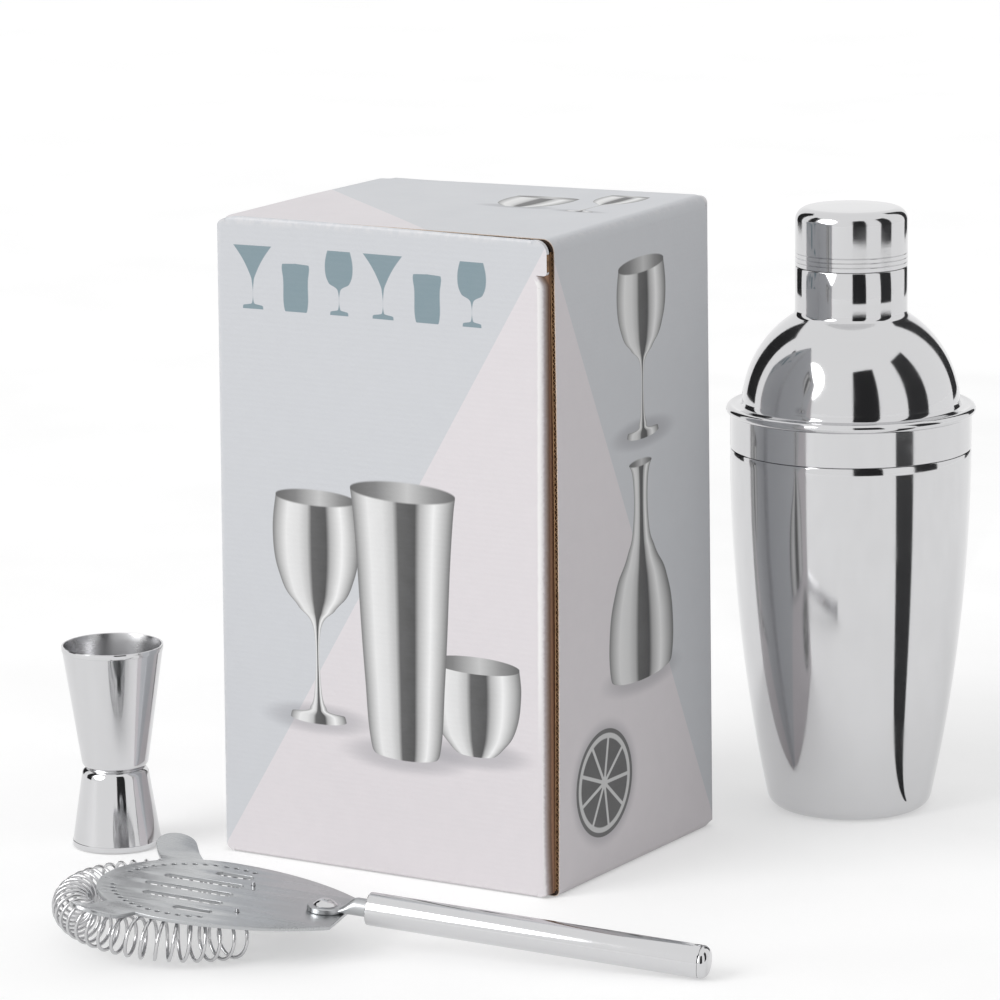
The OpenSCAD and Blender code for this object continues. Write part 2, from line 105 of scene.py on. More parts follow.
def feed(term, socket):
    if isinstance(term, Field):
        term.tree.links.new(term.socket, socket)
    else:
        socket.default_value = term


def give(sockets, **terms):
    """Feed sockets by their names, with an underscore for each space."""
    for title, term in terms.items():
        feed(term, sockets[title.replace("_", " ")])


def add_node(tree, kind, terms, output=0, **settings):
    made = tree.nodes.new("ShaderNode" + kind)
    for title, value in settings.items():
        setattr(made, title, value)
    for place, term in terms.items():
        feed(term, made.inputs[place])
    return Field(tree, made.outputs[output])


def calc(operation, *terms):
    tree = next(term.tree for term in terms if isinstance(term, Field))
    return add_node(tree, "Math", dict(enumerate(terms)), operation=operation)


def ease(value, low, high):
    return add_node(value.tree, "MapRange", {0: value, 1: low, 2: high}, interpolation_type="SMOOTHSTEP")


def blend_colour(factor, first, second):
    return add_node(factor.tree, "Mix", {0: factor, 6: first, 7: second}, 2, data_type="RGBA")


def linear(red, green, blue):
    return tuple((c / 255.0) ** 2.2 for c in (red, green, blue)) + (1.0,)


def ramp(value, stops):
    made = value.tree.nodes.new("ShaderNodeValToRGB")
    feed(value, made.inputs[0])
    points = made.color_ramp.elements
    while len(points) < len(stops):
        points.new(0.5)
    for point, (at, tone) in zip(points, stops):
        point.position = at
        point.color = tone if isinstance(tone, tuple) else (tone, tone, tone, 1.0)
    return Field(value.tree, made.outputs[0])


def outline_curve(value, points):
    made = value.tree.nodes.new("ShaderNodeFloatCurve")
    curve = made.mapping.curves[0]
    while len(curve.points) < len(points):
        curve.points.new(0.5, 0.5)
    for point, spot in zip(curve.points, points):
        point.location = spot
        point.handle_type = "AUTO"
    made.mapping.update()
    feed(value, made.inputs[1])
    return Field(value.tree, made.outputs[0])


def noise(tree, scale, detail=3.0, stretch=(1.0, 1.0, 1.0), roughness=0.55):
    place = add_node(tree, "TexCoord", {}, "Object")
    place = add_node(tree, "Mapping", {"Vector": place, "Scale": stretch})
    terms = {"Vector": place, "Scale": scale, "Detail": detail, "Roughness": roughness}
    return add_node(tree, "TexNoise", terms)


def relief(height, strength, distance):
    return add_node(height.tree, "Bump", {"Strength": strength, "Distance": distance, "Height": height})


def new_material(name):
    made = bpy.data.materials.new(name)
    made.use_nodes = True
    return made, made.node_tree, made.node_tree.nodes["Principled BSDF"].inputs


def new_group(name, inputs, outputs):
    """A node group: its tree, its inputs as fields, and its output sockets."""
    group = bpy.data.node_groups.new(name, "ShaderNodeTree")
    for way, titles in (("INPUT", inputs), ("OUTPUT", outputs)):
        for title in titles:
            group.interface.new_socket(title, in_out=way, socket_type="NodeSocketFloat")
    entry = group.nodes.new("NodeGroupInput").outputs
    given = [Field(group, entry[title]) for title in inputs]
    return group, given, group.nodes.new("NodeGroupOutput").inputs


def use_group(tree, group, **given):
    used = tree.nodes.new("ShaderNodeGroup")
    used.node_tree = group
    give(used.inputs, **given)
    return {socket.name: Field(tree, socket) for socket in used.outputs}


def print_place(tree):
    """The place of a point on the flat sheet, in mm."""
    split = tree.nodes.new("ShaderNodeSeparateXYZ")
    feed(add_node(tree, "UVMap", {}, uv_map="print"), split.inputs[0])
    return Field(tree, split.outputs[0]), Field(tree, split.outputs[1])


def new_picture(name):
    return new_group(name, ("U", "V", "Height", "Half width"), ("Tone", "Mask", "Shadow"))


def vessel_picture(name, outline):
    """A polished vessel, seen a little from above. outline is its half width at each height, as shares."""
    tree, (u, v, tall, half), result = new_picture(name)
    level = v / tall
    side = u / half

    def half_width(height):
        return calc("MAXIMUM", outline_curve(calc("MINIMUM", height, 1.0), outline), THINNEST)

    near_r = half_width(level)
    turn = calc("MINIMUM", abs(side / near_r), 1.0)
    drop = half / tall * RING_DIP * near_r * calc("SQRT", 1.0 - turn * turn)
    ring = level + drop
    ring_r = half_width(ring)
    across = side / ring_r
    shift = across * 0.5 + 0.5
    front = ramp(shift, ((0.0, 0.16), (0.05, 0.42), (0.16, 0.80), (0.30, 0.72), (0.40, 0.50), (0.45, 0.10),
                         (0.62, 0.06), (0.67, 0.44), (0.80, 0.86), (0.93, 0.42), (1.0, 0.12)))
    hollow = ramp(shift, ((0.0, 0.10), (0.25, 0.20), (0.55, 0.55), (0.8, 0.25), (1.0, 0.10)))
    inside = ease((1.0 - abs(across)) * ring_r * half, 0.0, PRINT_BLUR)
    low_end = ease(ring, -0.002, 0.004)
    top_end = 1.0 - ease(level - drop, 0.995, 1.005)
    flat_u = side * 0.72
    flat_v = v / (half * 0.35)
    give(result,
         Tone=add_node(tree, "Mix", {0: ease(ring, 0.995, 1.005), 2: front, 3: hollow}),
         Mask=inside * low_end * top_end,
         Shadow=1.0 - ease(flat_u * flat_u + flat_v * flat_v, 0.1, 1.0))
    return tree


def citrus_picture():
    """A slice of citrus, with rind, pith and nine segments."""
    tree, (u, v, _, half), result = new_picture("citrus_slice")
    segments = 9.0
    across = u / half
    up = v / half
    r = calc("SQRT", across * across + up * up)
    turn = calc("ARCTAN2", up, across) * (segments / (2.0 * math.pi))
    wall = (0.5 - abs(calc("FRACT", turn) - 0.5)) * r
    flesh = ease(wall, 0.035, 0.06) * (1.0 - ease(r, 0.80, 0.83)) * ease(r, 0.10, 0.13)
    give(result,
         Tone=0.62 - flesh * 0.52 - ease(r, 0.90, 0.92) * 0.50,
         Mask=1.0 - ease(r, 0.985, 1.0),
         Shadow=1.0 - ease(r, 0.95, 1.25))
    return tree


def glass_row(u, v):
    """Six flat glass shapes in a row, of three kinds in turn."""
    count, start, pitch, foot, tall, half = 6.0, 7.0, 17.5, 194.0, 22.0, 8.6
    shapes = (
        ((0.0, 0.50), (0.05, 0.48), (0.09, 0.07), (0.46, 0.07), (0.52, 0.12), (1.0, 0.92)),
        ((0.0, 0.50), (0.02, 0.54), (0.5, 0.60), (0.74, 0.64), (0.76, 0.0), (1.0, 0.0)),
        ((0.0, 0.44), (0.05, 0.42), (0.09, 0.07), (0.38, 0.07), (0.5, 0.50), (0.7, 0.66), (1.0, 0.54)),
    )
    lane = (u - start) / pitch
    level = (v - foot) / tall
    side = abs((calc("FRACT", lane) - 0.5) * pitch)
    kind = calc("FLOORED_MODULO", calc("FLOOR", lane), float(len(shapes)))
    width = sum(outline_curve(level, shape) * calc("COMPARE", kind, float(number), 0.5)
                for number, shape in enumerate(shapes))
    inside = ease(width * half - side, 0.0, PRINT_BLUR)
    for value, limit in ((level, 1.0), (lane, count)):
        inside = inside * calc("GREATER_THAN", value, 0.0) * calc("LESS_THAN", value, limit)
    return inside


GOBLET = vessel_picture("goblet_picture", (
    (0.0, 0.62), (0.03, 0.58), (0.07, 0.14), (0.16, 0.07), (0.40, 0.08), (0.50, 0.40), (0.62, 0.78),
    (0.80, 0.95), (1.0, 0.88)))
TIN = vessel_picture("mixing_tin_picture", (
    (0.0, 0.60), (0.03, 0.66), (0.30, 0.77), (0.93, 0.96), (1.0, 1.0)))
DECANTER = vessel_picture("decanter_picture", (
    (0.0, 0.86), (0.05, 0.98), (0.25, 1.0), (0.45, 0.80), (0.60, 0.42), (0.70, 0.26), (0.92, 0.24),
    (1.0, 0.36)))
BOWL = vessel_picture("ice_bowl_picture", (
    (0.0, 0.42), (0.08, 0.58), (0.30, 0.86), (0.70, 1.0), (1.0, 0.97)))
CITRUS = citrus_picture()


def board_wear():
    """Rubbed folds, faint mottle, uneven varnish and flute ridges of a printed board."""
    tree, (u, v, width, height, across), result = new_group(
        "board_wear", ("U", "V", "Width", "Height", "Across"), ("Worn", "Mottle", "Gloss", "Relief"))
    from_sides = calc("MINIMUM", u, width - u)
    from_ends = calc("MINIMUM", v, height - v)
    near_fold = 1.0 - ease(calc("MINIMUM", from_sides, from_ends), 0.4, 3.0)
    ridge = calc("SINE", across * (2.0 * math.pi / FLUTE))
    give(result,
         Worn=near_fold * ease(noise(tree, 420.0, 4.0), 0.42, 0.62),
         Mottle=ease(noise(tree, 160.0, 5.0), 0.2, 0.8),
         Gloss=noise(tree, 55.0) * 0.16 + 0.36,
         Relief=ridge * 0.10 + noise(tree, 900.0) + noise(tree, 26.0, 2.0) * 2.2)
    return tree


def seam_wear():
    """The fold at the seam starts earlier towards the foot, and under the tab at the top of the front.
    Hands rub it white, but not near the foot."""
    tree, (v,), result = new_group("seam_wear", ("V",), ("Drift", "Rub"))
    give(result,
         Drift=(1.7 - v / 152.0) * ease(v, -30.0, 30.0) + ease(v, 209.0, 214.0) * 2.5,
         Rub=ease(v, 40.0, 90.0))
    return tree


BOARD_WEAR = board_wear()
SEAM_WEAR = seam_wear()
WARM_FIELD = linear(221, 216, 219)
COOL_FIELD = linear(204, 206, 210)


def printed_board(name, width, height, slope, pictures, flutes_up, front=False):
    """One panel's print. slope parts the two fields. A picture has its place, height and half width."""
    made, tree, shader = new_material(name)
    u, v = print_place(tree)
    colour = blend_colour(ease(slope(u / width, v / height), -0.001, 0.001), WARM_FIELD, COOL_FIELD)
    if front:
        colour = blend_colour(glass_row(u, v), colour, linear(128, 147, 155))
    for group, picture_u, picture_v, tall, half in pictures:
        drawn = use_group(tree, group, U=u - picture_u, V=v - picture_v, Height=tall, Half_width=half)
        colour = blend_colour(drawn["Shadow"] * 0.45, colour, linear(136, 136, 142))
        colour = blend_colour(drawn["Mask"], colour, drawn["Tone"])
    across = v if flutes_up else u
    wear = use_group(tree, BOARD_WEAR, U=u, V=v, Width=width, Height=height, Across=across)
    colour = blend_colour(wear["Worn"] * 0.30, colour, linear(231, 228, 228))
    if front:
        seam = use_group(tree, SEAM_WEAR, V=v)
        from_fold = abs(u + seam["Drift"] * 1.2 - (SEAM_U + 0.03))
        ragged = from_fold + noise(tree, 300.0, 4.0) * 0.6 + ease(v, 210.0, 213.0)
        rubbed = (1.0 - ease(ragged, 0.5, 1.4)) * seam["Rub"]
        colour = blend_colour(rubbed * 0.85, colour, linear(243, 242, 241))
    colour = blend_colour(wear["Mottle"] * 0.05, colour, linear(172, 172, 178))
    give(shader, Base_Color=colour, Roughness=wear["Gloss"], Specular_IOR_Level=0.42,
         Normal=relief(wear["Relief"], 0.10, 0.0006))
    return made


front_print = printed_board(
    "front_print", 2.0 * HALF_W, TALL, lambda run, rise: rise - run,
    ((BOWL, 103.0, 47.0, 31.0, 18.0), (GOBLET, 40.0, 52.0, 78.0, 18.5), (TIN, 75.0, 43.0, 92.0, 21.0)),
    True, True)
side_print = printed_board(
    "side_print", 2.0 * HALF_D, TALL, lambda run, rise: rise + run - 1.0,
    ((GOBLET, 62.0, 150.0, 58.0, 18.0), (DECANTER, 60.0, 66.0, 74.0, 22.0),
     (CITRUS, 34.0, 33.0, 38.0, 19.0)), True)
lid_print = printed_board(
    "lid_print", 2.0 * HALF_W, 2.0 * HALF_D, lambda run, rise: rise + run - 0.66,
    ((BOWL, 84.0, 62.0, 22.0, 13.0), (GOBLET, 110.0, 60.0, 36.0, 9.0)), False)

# Raw kraft of the board
# The inside liner is unbleached kraft paper with long fibres and darker specks.
# The cut edges are a little darker and furry, where the knife went through the flutes.
# # A near-black kraft is painted shade, for the dark inside of the flutes and of a fold's end.


def kraft_fibre():
    """Long fibres, dark specks and the fuzz of unbleached paper."""
    tree, (specks,), result = new_group("kraft_fibre", ("Specks",), ("Fibre", "Fleck", "Gloss", "Fuzz"))
    fibre = noise(tree, 90.0, 6.0, (1.0, 1.0, 6.0))
    give(result,
         Fibre=ease(fibre, 0.25, 0.75),
         Fleck=ease(noise(tree, 1500.0, 2.0), 0.66, 0.74) * specks,
         Gloss=fibre * 0.2 + 0.72,
         Fuzz=noise(tree, 1300.0, 4.0))
    return tree


KRAFT_FIBRE = kraft_fibre()
SPECK_BROWN = linear(70, 50, 36)


def kraft_board(name, light, dark, fuzz):
    made, tree, shader = new_material(name)
    paper = use_group(tree, KRAFT_FIBRE, Specks=0.35)
    colour = blend_colour(paper["Fleck"], blend_colour(paper["Fibre"], dark, light), SPECK_BROWN)
    give(shader, Base_Color=colour, Roughness=paper["Gloss"], Normal=relief(paper["Fuzz"], fuzz, 0.0003))
    return made


def fold_paper():
    """Print that has cracked a little along a fold."""
    made, tree, shader = new_material("fold_print")
    cracks = ease(noise(tree, 700.0, 5.0, (1.0, 1.0, 0.4)), 0.45, 0.65)
    colour = blend_colour(cracks * 0.5, linear(211, 211, 214), linear(228, 226, 226))
    give(shader, Base_Color=colour, Roughness=cracks * 0.12 + 0.42, Normal=relief(cracks, 0.12, 0.0002))
    return made


def seam_paper_and_shade():
    """Round the fold at the seam the print thins out, until the bare kraft of the glue flap shows.
    Past the rubbed white start, the greys and browns are partly painted shade of the crevice, and the last
    stop is lightened as painted light.
    """
    made, tree, shader = new_material("seam_print_and_shade")
    u, v = print_place(tree)
    seam = use_group(tree, SEAM_WEAR, V=v)
    ragged = u + (noise(tree, 800.0, 4.0) - 0.5) * 0.7
    turn = ease(ragged + seam["Drift"], SEAM_U, SEAM_U + 4.6)
    # painted shade: the ramp darkens the white liner and the kraft where the turn goes into the crevice,
    # then lightens at its end as painted light
    worn_and_shaded = ramp(turn, (
        (0.0, linear(238, 236, 236)), (0.12, linear(216, 212, 213)), (0.22, linear(190, 183, 185)),
        (0.31, linear(168, 158, 159)), (0.53, linear(149, 134, 128)), (0.76, linear(125, 103, 90)),
        (0.88, linear(117, 92, 78)), (1.0, linear(165, 127, 102))))
    unrubbed = 1.0 - calc("MAXIMUM", seam["Rub"], ease(turn, 0.0, 0.12))
    paper = use_group(tree, KRAFT_FIBRE, Specks=0.2)
    colour = blend_colour(paper["Fleck"], blend_colour(unrubbed, worn_and_shaded, WARM_FIELD), SPECK_BROWN)
    give(shader, Base_Color=colour, Roughness=turn * 0.35 + 0.5, Normal=relief(paper["Fuzz"], 0.2, 0.0002))
    return made


kraft_liner = kraft_board("kraft_liner", linear(176, 140, 104), linear(146, 112, 80), 0.25)
kraft_edge = kraft_board("kraft_edge", linear(150, 116, 84), linear(104, 78, 56), 0.6)
# painted shade: a near-black kraft for where the flutes and a fold's end lie in shade
kraft_painted_shade = kraft_board("kraft_painted_shade", linear(62, 45, 33), linear(36, 26, 19), 0.3)
liner_cut = kraft_board("liner_cut", linear(218, 203, 190), linear(194, 172, 152), 0.4)
BOARD = (front_print, side_print, lid_print, kraft_liner, kraft_edge, fold_paper(), seam_paper_and_shade(),
         kraft_painted_shade, liner_cut)
FRONT, SIDE, TOP, LINER, EDGE, FOLD, SEAM, PAINTED_SHADE, CUT = range(len(BOARD))

# Wrap of the carton
# One sheet of fine-fluted board, creased into four walls and glued at the front right corner.
# The front wall turns in as the glue flap, and the right wall lies over it with its cut edge in view.

THICK = 1.6
LINING = 0.26  # one liner of the board
NICK = 0.1  # width of a knife cut
FOLD_R = 3.0  # upright folds
SOFT_R = 4.2  # fold of the lid
FOOT_R = 2.0  # fold of the base
CORNER_R = 4.5  # upper right corner of the front, and the corners of the flaps
EAR_R = 5.5  # upper left corner of the front
LOW_R = 5.0  # lower corners of the walls
CREASE = 2.5  # height that the fold of a dust flap takes up
DROP = 0.8  # how much lower the back wall is
SWELL = 0.45  # of each wall in its middle
GAPE = 0.75  # of the right wall's free edge
GAPE_RUN = 20.0
EDGE_OPEN = 3.5  # how far the liners are parted at the cut edge
EDGE_DEPTH = 1.4  # how far one sees into it
FLUTE_RISE = 0.42  # half height of the waves
FLUTE_HALF = 0.08  # half thickness of the wavy sheet
TAB_OUT = 1.0  # how far the tab at the top of the front stands over the seam
TAB_TALL = 11.8
TAB_R = 1.2
TAB_ROOM = 12.0  # how far the fold stops below the top under the tab
FLAP_ROOM = 5.0  # how far the glue flap stops below the top
SEAM_LIFT = 1.2  # how far the front's lower edge rises to the seam
SPREAD_LEFT = 1.5
SPREAD_RIGHT = 1.65
SPREAD_FROM = 10.0  # below the top
LID_RISE = 1.8
LID_RISE_FROM = 45.0  # left of the middle
LID_SAG = 0.7
WELD = 0.002
HALF_TURN_IN = FOLD_R * (1.0 - math.cos(math.radians(45.0)))

LID_HALF = cad_box("lid_panel")[1][1]
SEAM_X = cad_box("front_panel")[1][0]
FLAP_END = cad_box("glue_flap")[1][1]
FOLD_X = HALF_W - FOLD_R
FOLD_Y = HALF_D - FOLD_R
SEAM_FOLD_X = SEAM_X - FOLD_R
TAB_X = SEAM_X + TAB_OUT
CREST_LEFT = SOFT_R - HALF_W + 5 * NICK
CREST_RIGHT = SEAM_X - CORNER_R - 3 * NICK


def new_mesh():
    return {"points": [], "faces": [], "slots": [], "places": []}


def grid(mesh, points, slot=0, place=None, ring=False):
    """Add a net of faces over rows of points. ring closes each row, and place puts them on the print."""
    rows, columns = points.shape[:2]
    base = len(mesh["points"])
    mesh["points"].extend(map(tuple, points.reshape(-1, 3)))
    spots = np.zeros((rows * columns, 2)) if place is None else place.reshape(-1, 2)
    for i in range(rows - 1):
        for j in range(columns if ring else columns - 1):
            a = i * columns + j
            b = i * columns + (j + 1) % columns
            corners = (a, b, b + columns, a + columns)
            mesh["faces"].append(tuple(base + c for c in corners))
            mesh["slots"].append(slot)
            mesh["places"].append([spots[c] for c in corners])


def slab(mesh, outer, inner, slots, place=None, ends=(True, True, True, True)):
    """Two nets and the edges between them. slots are for the outer face, the inner face and the edges."""
    if slots[0] is not None:
        grid(mesh, outer, slots[0], place)
    grid(mesh, inner, slots[1])
    for number, border in enumerate((np.s_[0], np.s_[-1], np.s_[:, 0], np.s_[:, -1])):
        if ends[number]:
            grid(mesh, np.stack((outer[border], inner[border])), slots[2] if number < 2 else slots[-1])


def show(name, data, crisp):
    """Weld a mesh, smooth it up to the crisp angle, and put it in the scene."""
    work = bmesh.new()
    work.from_mesh(data)
    bmesh.ops.remove_doubles(work, verts=work.verts, dist=WELD * MM)
    bmesh.ops.recalc_face_normals(work, faces=work.faces)
    for face in work.faces:
        face.smooth = True
    for edge in work.edges:
        edge.smooth = len(edge.link_faces) == 2 and edge.calc_face_angle(0.0) < math.radians(crisp)
    work.to_mesh(data)
    work.free()
    made = bpy.data.objects.new(name, data)
    bpy.context.scene.collection.objects.link(made)
    return made


def make_object(name, mesh, materials, crisp=38.0):
    data = bpy.data.meshes.new(name)
    data.from_pydata([tuple(c * MM for c in p) for p in mesh["points"]], [], mesh["faces"])
    spots = [spot for face in mesh["places"] for spot in face]
    data.uv_layers.new(name="print").data.foreach_set("uv", np.array(spots, np.float32).ravel())
    data.polygons.foreach_set("material_index", mesh["slots"])
    for material in materials:
        data.materials.append(material)
    return show(name, data, crisp)


def put(made, body, slot, *nodes):
    if nodes:
        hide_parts(*nodes)
    if body:
        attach(made, body)
    return made


def settled(mesh):
    """A packed carton isn't quite square. It spreads at its foot, and its lid rises to the back right."""
    x, y, z = np.array(mesh["points"]).T
    back = np.clip((y + HALF_D) / (2.0 * HALF_D), 0.0, 1.0)
    right = np.clip((x + LID_RISE_FROM) / (HALF_W + LID_RISE_FROM), 0.0, 1.0)
    foot = np.maximum(0.0, 1.0 - z / (TALL - SPREAD_FROM))
    high = np.clip(z / TALL, 0.0, 1.0) ** 2
    front_left = np.clip(-x / HALF_W, 0.0, 1.0) ** 2 * np.clip(-y / HALF_D, 0.0, 1.0)
    x_new = x + foot * (x / HALF_W) * np.where(x < 0.0, SPREAD_LEFT, SPREAD_RIGHT * back)
    z_new = z + high * (LID_RISE * right * back - LID_SAG * front_left)
    mesh["points"] = [tuple(map(float, p)) for p in np.stack((x_new, y, z_new), axis=1)]
    return mesh


def board_piece(name, mesh, body, *nodes):
    return put(make_object(name, settled(mesh), BOARD), body, "printed_board", *nodes)


def flat_wall(start, end, normal, cuts):
    """The plan of a flat wall: points with the way that they face and how much they swell."""
    start, end = np.array(start), np.array(end)
    return [(*(start + (end - start) * q), *normal, 4.0 * q * (1.0 - q)) for q in cuts]


def folded(cx, cy, a0, a1, count=7):
    turns = np.radians(np.linspace(a0, a1, count))
    facing = [(math.cos(a), math.sin(a)) for a in turns]
    return [(cx + FOLD_R * x, cy + FOLD_R * y, x, y, 0.0) for x, y in facing]


def wall_grids(path, low, high, depths=(0.0, THICK), rows=20):
    """Nets of one wall at two depths in the board."""
    path = np.array(path)
    low, high = np.array(low), np.array(high)
    levels = low[:, None] + (high - low)[:, None] * np.linspace(0.0, 1.0, rows)[None, :]
    swell = SWELL * path[:, 4][:, None] * np.sin(np.pi * levels / TALL)
    grids = []
    for depth in depths:
        x, y = (path[:, k][:, None] + path[:, k + 2][:, None] * (swell - depth) for k in (0, 1))
        grids.append(np.stack((x, y, levels), axis=2))
    return grids


def print_places(path, grids, first_flat, value):
    """Places on the print: the run along the wall, counted from its first flat column, and the height."""
    steps = np.hypot(*np.diff(np.array(path)[:, :2], axis=0).T)
    run = np.concatenate(([0.0], np.cumsum(steps)))
    run = run - run[first_flat] + value
    levels = grids[0][:, :, 2]
    return np.stack((np.repeat(run[:, None], levels.shape[1], axis=1), levels), axis=2)


def rounded_off(r, out):
    """How far an edge has dropped, out mm along a corner of radius r."""
    return r - math.sqrt(r ** 2 - max(0.0, out) ** 2)


def stand_off(y):
    """How far the right wall swells at half height. Its free edge at the seam gapes a little."""
    return SWELL * max(0.0, 1.0 - (y / FOLD_Y) ** 2) + GAPE * max(0.0, 1.0 - (y + LID_HALF) / GAPE_RUN) ** 2


wrap = new_mesh()
TOP_AND_FOOT = (False, False, True, True)

# right wall, with its cut edge at the seam
right_y = [y - LID_HALF for y in (0.0, EDGE_DEPTH, 3.0, EDGE_OPEN)]
right_y += list(np.linspace(9.0 - LID_HALF, LID_HALF, 13)) + [LID_HALF + NICK, FOLD_Y]
right_path = [(HALF_W, y, 1.0, 0.0, stand_off(y) / SWELL) for y in right_y]
right_path += folded(FOLD_X, FOLD_Y, 0.0, 45.0)[1:]
right_high = [TALL - rounded_off(SOFT_R, p[0] - HALF_W + SOFT_R) - DROP * (HALF_W - p[0]) / HALF_TURN_IN
              for p in right_path]
right_low = [max(FOOT_R, rounded_off(LOW_R, p[1] - HALF_D + LOW_R)) for p in right_path]
grids = wall_grids(right_path, right_low, right_high)
places = print_places(right_path, grids, 0, HALF_D - LID_HALF)
slab(wrap, grids[0][3:], grids[1][3:], (SIDE, LINER, EDGE, FOLD), places[3:], TOP_AND_FOOT)
for depths, slots in (((0.0, LINING), (SIDE, EDGE, CUT)), ((THICK - LINING, THICK), (EDGE, LINER, LINER))):
    liner = wall_grids(right_path[:4], right_low[:4], right_high[:4], depths)
    slab(wrap, liner[0], liner[1], slots, places[:4], (True, False, True, True))
wave_z = np.arange(FOOT_R + NICK, TALL - SOFT_R - NICK, FLUTE / 10.0)
wave_x = HALF_W - THICK / 2.0 + FLUTE_RISE * np.cos(2.0 * np.pi * wave_z / FLUTE)
wave_bow = np.sin(np.pi * wave_z / TALL)
wave_y = (NICK - LID_HALF, EDGE_OPEN + NICK - LID_HALF)
waves = [np.stack([np.stack((wave_x + t + stand_off(y) * wave_bow, np.full_like(wave_z, y), wave_z), axis=1)
                   for y in wave_y]) for t in (FLUTE_HALF, -FLUTE_HALF)]
slab(wrap, waves[0], waves[1], (LINER, LINER, LINER))
# painted shade: a dark sheet between the liners, a little in from the cut edge, for the shade inside the
# flutes
shade_sheet_y = EDGE_DEPTH - LID_HALF
shade_sheet_z = np.linspace(FOOT_R, TALL - SOFT_R, 20)
hollow = [[(x + stand_off(shade_sheet_y) * math.sin(math.pi * z / TALL), shade_sheet_y, z) for z in shade_sheet_z]
          for x in (HALF_W - THICK + LINING, HALF_W - LINING)]
grid(wrap, np.array(hollow), PAINTED_SHADE)

# back and left walls
end_cuts = np.array((0.0, 0.6, 1.2, 1.6, 1.7)) / (2.0 * FOLD_X)
back_cuts = np.concatenate((end_cuts, np.linspace(0.05, 0.95, 13), 1.0 - end_cuts[::-1]))
back_path = folded(FOLD_X, FOLD_Y, 45.0, 90.0)
back_path += flat_wall((FOLD_X, HALF_D), (-FOLD_X, HALF_D), (0.0, 1.0), back_cuts)[1:]
back_path += folded(-FOLD_X, FOLD_Y, 90.0, 135.0)[1:]
left_path = folded(-FOLD_X, FOLD_Y, 135.0, 180.0)
left_path += flat_wall((-HALF_W, FOLD_Y), (-HALF_W, -FOLD_Y), (-1.0, 0.0), np.linspace(0.0, 1.0, 15))[1:]
left_path += folded(-FOLD_X, -FOLD_Y, 180.0, 225.0)[1:]
ears = [abs(p[0]) > NICK / 2.0 - CREST_LEFT for p in back_path]
back_high = [TALL - DROP - rounded_off(SOFT_R, abs(p[0]) - HALF_W + SOFT_R) if ear else TALL - CREASE
             for p, ear in zip(back_path, ears)]
back_low = [rounded_off(LOW_R, abs(p[0]) - HALF_W + LOW_R) if ear else CREASE
            for p, ear in zip(back_path, ears)]
left_high = [TALL - rounded_off(EAR_R, EAR_R - HALF_TURN_IN)] * len(left_path)
left_low = [rounded_off(LOW_R, LOW_R - HALF_TURN_IN)] * len(left_path)
for path, low, high, slots in ((back_path, back_low, back_high, (FRONT, LINER, EDGE, FOLD)),
                               (left_path, left_low, left_high, (SIDE, LINER, EDGE))):
    grids = wall_grids(path, low, high)
    slab(wrap, grids[0], grids[1], slots, print_places(path, grids, 6, FOLD_R), TOP_AND_FOOT)

# front wall, the tab at its upper right corner, and the glue flap


def front_top(x):
    if CREST_LEFT - NICK / 2.0 < x < CREST_RIGHT + NICK / 2.0:
        return TALL - CREASE
    if x < 0.0:
        return TALL - rounded_off(EAR_R, -x - HALF_W + EAR_R)
    return TALL - CORNER_R - NICK + math.sqrt(max(0.0, CORNER_R ** 2 - max(0.0, x - TAB_X + CORNER_R) ** 2))


def front_low(x):
    if x < CREST_LEFT - NICK / 2.0:
        return rounded_off(LOW_R, -x - HALF_W + LOW_R)
    if x < CREST_RIGHT + NICK / 2.0:
        return CREASE
    return NICK + SEAM_LIFT * ((x - CREST_RIGHT) / (SEAM_X - CREST_RIGHT)) ** 2


front_x = [0.6 - FOLD_X, SOFT_R - HALF_W, CREST_LEFT - NICK, CREST_LEFT]
front_x += list(np.linspace(CREST_LEFT + 5.0, CREST_RIGHT - 5.0, 13))
front_x += [CREST_RIGHT, CREST_RIGHT + NICK] + list(np.linspace(CREST_RIGHT + 0.6, SEAM_FOLD_X, 4))
front_path = folded(-FOLD_X, -FOLD_Y, 225.0, 270.0)
front_path += [(x, -HALF_D, 0.0, -1.0, max(0.0, 1.0 - (x / SEAM_FOLD_X) ** 2)) for x in front_x]
grids = wall_grids(front_path, [front_low(p[0]) for p in front_path], [front_top(p[0]) for p in front_path])
places = print_places(front_path, grids, 6, FOLD_R)
slab(wrap, grids[0], grids[1], (FRONT, LINER, EDGE, FOLD), places, TOP_AND_FOOT)
tab_x = SEAM_FOLD_X + (TAB_X - SEAM_FOLD_X) * np.sin(np.linspace(0.0, np.pi / 2.0, 9))
tab_path = [(x, -HALF_D, 0.0, -1.0, 0.0) for x in tab_x]
tab_low = [TALL - TAB_TALL + rounded_off(TAB_R, x - TAB_X + TAB_R) for x in tab_x]
grids = wall_grids(tab_path, tab_low, [front_top(x) for x in tab_x], rows=8)
places = print_places(tab_path, grids, 0, SEAM_FOLD_X + HALF_W)
slab(wrap, grids[0], grids[1], (FRONT, LINER, EDGE, FOLD), places)
seam_path = folded(SEAM_FOLD_X, -FOLD_Y, -90.0, 0.0, 13)
seam_path += [(SEAM_X, y, 1.0, 0.0, 0.0) for y in np.linspace(2.0 - FOLD_Y, FLAP_END, 5)]
seam_high = [TALL - (TAB_ROOM if p[1] < -FOLD_Y - 0.51 * FOLD_R else FLAP_ROOM) for p in seam_path]
grids = wall_grids(seam_path, [front_low(p[0]) for p in seam_path], seam_high, rows=12)
places = print_places(seam_path, grids, 0, SEAM_FOLD_X + HALF_W)
slab(wrap, grids[0][:2], grids[1][:2], (FRONT, LINER, EDGE), places[:2], TOP_AND_FOOT)
